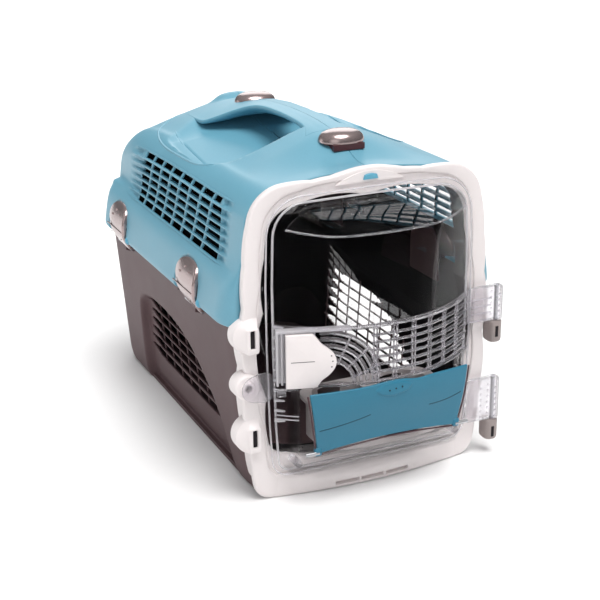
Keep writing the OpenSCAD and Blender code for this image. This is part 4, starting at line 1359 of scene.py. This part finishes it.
def clip_details(side, yc):
    """Grip beads on the upper face and a fine ridge along the crease."""
    parts = [bead((side * (clip_face(z) + 0.1), yc + y, z), (1.1, 1.5, 1.5), 7, 12)
             for y, z in ((-14, 218), (-2, 221), (8, 214))]
    y = np.linspace(-27, 27, 28)
    x = np.full(28, clip_face(199.5) - 0.1)
    parts.append(bar(np.stack([side * x, yc + y, np.full(28, 199.6)], 1), 0.8, 0.7, (0, 0, 1), 8))
    return joined(parts)


def clip_dots(side, yc):
    """Two small dark dots on the lower face: painted shade in grip dimples."""
    return joined([bead((side * (clip_face(z) + 0.05), yc + y, z), (0.4, 1.0, 1.0), 5, 10)
                   for y, z in ((-18, 189), (16, 191))])


for side, letter, word in ((LEFT, "l", "left"), (RIGHT, "r", "right")):
    for end, yc in CLIP_YS.items():
        name, body = f"{end}_{word}", f"clip_{end[0]}{letter}"
        put("clip_shell_" + name, *clip_skin(side, yc), body, SILVER, "clip_silver", ["clip_" + name],
            crease=40)
        put("clip_grips_" + name, *clip_details(side, yc), body, SILVER, "clip_silver")
        put("clip_dots_" + name, *clip_dots(side, yc), body, SHADE, "clip_silver")
    balls = [bead((side * 150.6, yc - 37.0, 192.0), (4.6, 4.4, 4.9), 11, 20) for yc in CLIP_YS.values()]
    put("pin_balls_" + word, *joined(balls), "wing_" + word, TAB_BLUE, "hatch_plastic")

# ---------------------------------------------------------------- top latches


def latch_dome(yc):
    """A top latch's satin cap: a low oval dome with a soft rim; its width eases a little towards the ends."""
    a = np.linspace(0, 2 * np.pi, 72, endpoint=False)
    rings = []
    for share, z in ((0.90, 345.6), (1.0, 346.3), (1.0, 347.8), (0.985, 349.4), (0.93, 352.0), (0.82, 354.6),
                     (0.62, 356.6), (0.36, 357.6), (0.1, 357.9)):
        rings.append(np.stack([24 * share * np.cos(a), yc + 19.6 * share * np.sin(a), np.full(72, z)], 1))
    return loft(rings)


for end, yc in (("front", -137), ("rear", 85)):
    put("latch_cap_" + end, *latch_dome(yc), "latch_" + end, SILVER, "clip_silver", ["top_latch_" + end])

# ---------------------------------------------------------------- camera, light and floor

VIEW_YAW, VIEW_PITCH, VIEW_ROLL = (math.radians(a) for a in (-24.38, 19.91, -0.73))
CAMERA_AT = (-0.56199, -1.27303, 0.63556)
FLOOR_REACH, FLOOR_DROP = 6.0, 0.0004  # metres


def make_camera():
    """The camera stands to the left in front of the door and looks down a little."""
    a, e, r = VIEW_YAW, VIEW_PITCH, VIEW_ROLL
    back = Vector((math.sin(a) * math.cos(e), -math.cos(a) * math.cos(e), math.sin(e)))
    right = Vector((math.cos(a), math.sin(a), 0))
    up = back.cross(right)
    right, up = math.cos(r) * right + math.sin(r) * up, math.cos(r) * up - math.sin(r) * right
    lens = bpy.data.cameras.new("camera")
    lens.lens, lens.sensor_width = 77.39, 36
    lens.clip_start, lens.clip_end = 0.05, 30
    obj = bpy.data.objects.new("camera", lens)
    obj.matrix_world = Matrix((*zip(right, up, back, CAMERA_AT), (0, 0, 0, 1)))
    bpy.context.scene.collection.objects.link(obj)
    bpy.context.scene.camera = obj


def soft_light(name, place, aim, size, power, colour=(1, 1, 1)):
    """A square soft light that points at aim."""
    lamp = bpy.data.lights.new(name, "AREA")
    lamp.shape, lamp.size, lamp.energy, lamp.color = "SQUARE", size, power, colour
    obj = bpy.data.objects.new(name, lamp)
    way = Vector(aim) - Vector(place)
    obj.matrix_world = Matrix.Translation(place) @ way.to_track_quat("-Z", "Y").to_matrix().to_4x4()
    bpy.context.scene.collection.objects.link(obj)


def make_stage():
    """A plain pale floor, a broad sun, three soft lights and an even pale surround."""
    corners = [(x * FLOOR_REACH, y * FLOOR_REACH, -FLOOR_DROP) for x, y in ((-1, -1), (1, -1), (1, 1), (-1, 1))]
    mesh = bpy.data.meshes.new("floor")
    mesh.from_pydata(corners, [], [(0, 1, 2, 3)])
    floor = bpy.data.objects.new("floor", mesh)
    mesh.materials.append(moulded("floor_pale", (0.90, 0.90, 0.90), 0.8, 200, 0.02, 0.01, 0.1))
    bpy.context.scene.collection.objects.link(floor)
    lamp = bpy.data.lights.new("key", "SUN")
    lamp.energy, lamp.angle, lamp.color = 2.9, math.radians(38), (1.0, 0.99, 0.98)
    sun = bpy.data.objects.new("key", lamp)
    way = Vector((-0.06, 0.30, -0.95))
    sun.matrix_world = way.to_track_quat("-Z", "Y").to_matrix().to_4x4()
    bpy.context.scene.collection.objects.link(sun)
    soft_light("sheen", (1.0, 2.2, 1.35), (0, 0, 0.3), 1.6, 15)
    soft_light("fill", (-1.3, -1.7, 1.1), (0, 0, 0.2), 1.4, 6)
    soft_light("side", (-1.5, 1.1, 0.5), (-0.1, 0.1, 0.15), 0.9, 3)
    world = bpy.data.worlds.new("surround")
    world.use_nodes = True
    nodes, links = world.node_tree.nodes, world.node_tree.links
    coords = nodes.new("ShaderNodeTexCoord")
    split = nodes.new("ShaderNodeSeparateXYZ")
    ramp = nodes.new("ShaderNodeValToRGB")
    stops = ramp.color_ramp.elements
    stops[0].position, stops[0].color = 0.0, (0.30, 0.30, 0.31, 1)
    stops[1].position, stops[1].color = 0.75, (0.95, 0.95, 0.96, 1)
    links.new(coords.outputs["Generated"], split.inputs[0])
    links.new(split.outputs["Z"], ramp.inputs["Fac"])
    links.new(ramp.outputs["Color"], nodes["Background"].inputs["Color"])
    nodes["Background"].inputs["Strength"].default_value = 0.50
    bpy.context.scene.world = world
    bpy.context.scene.view_settings.view_transform = "Standard"


make_camera()
make_stage()
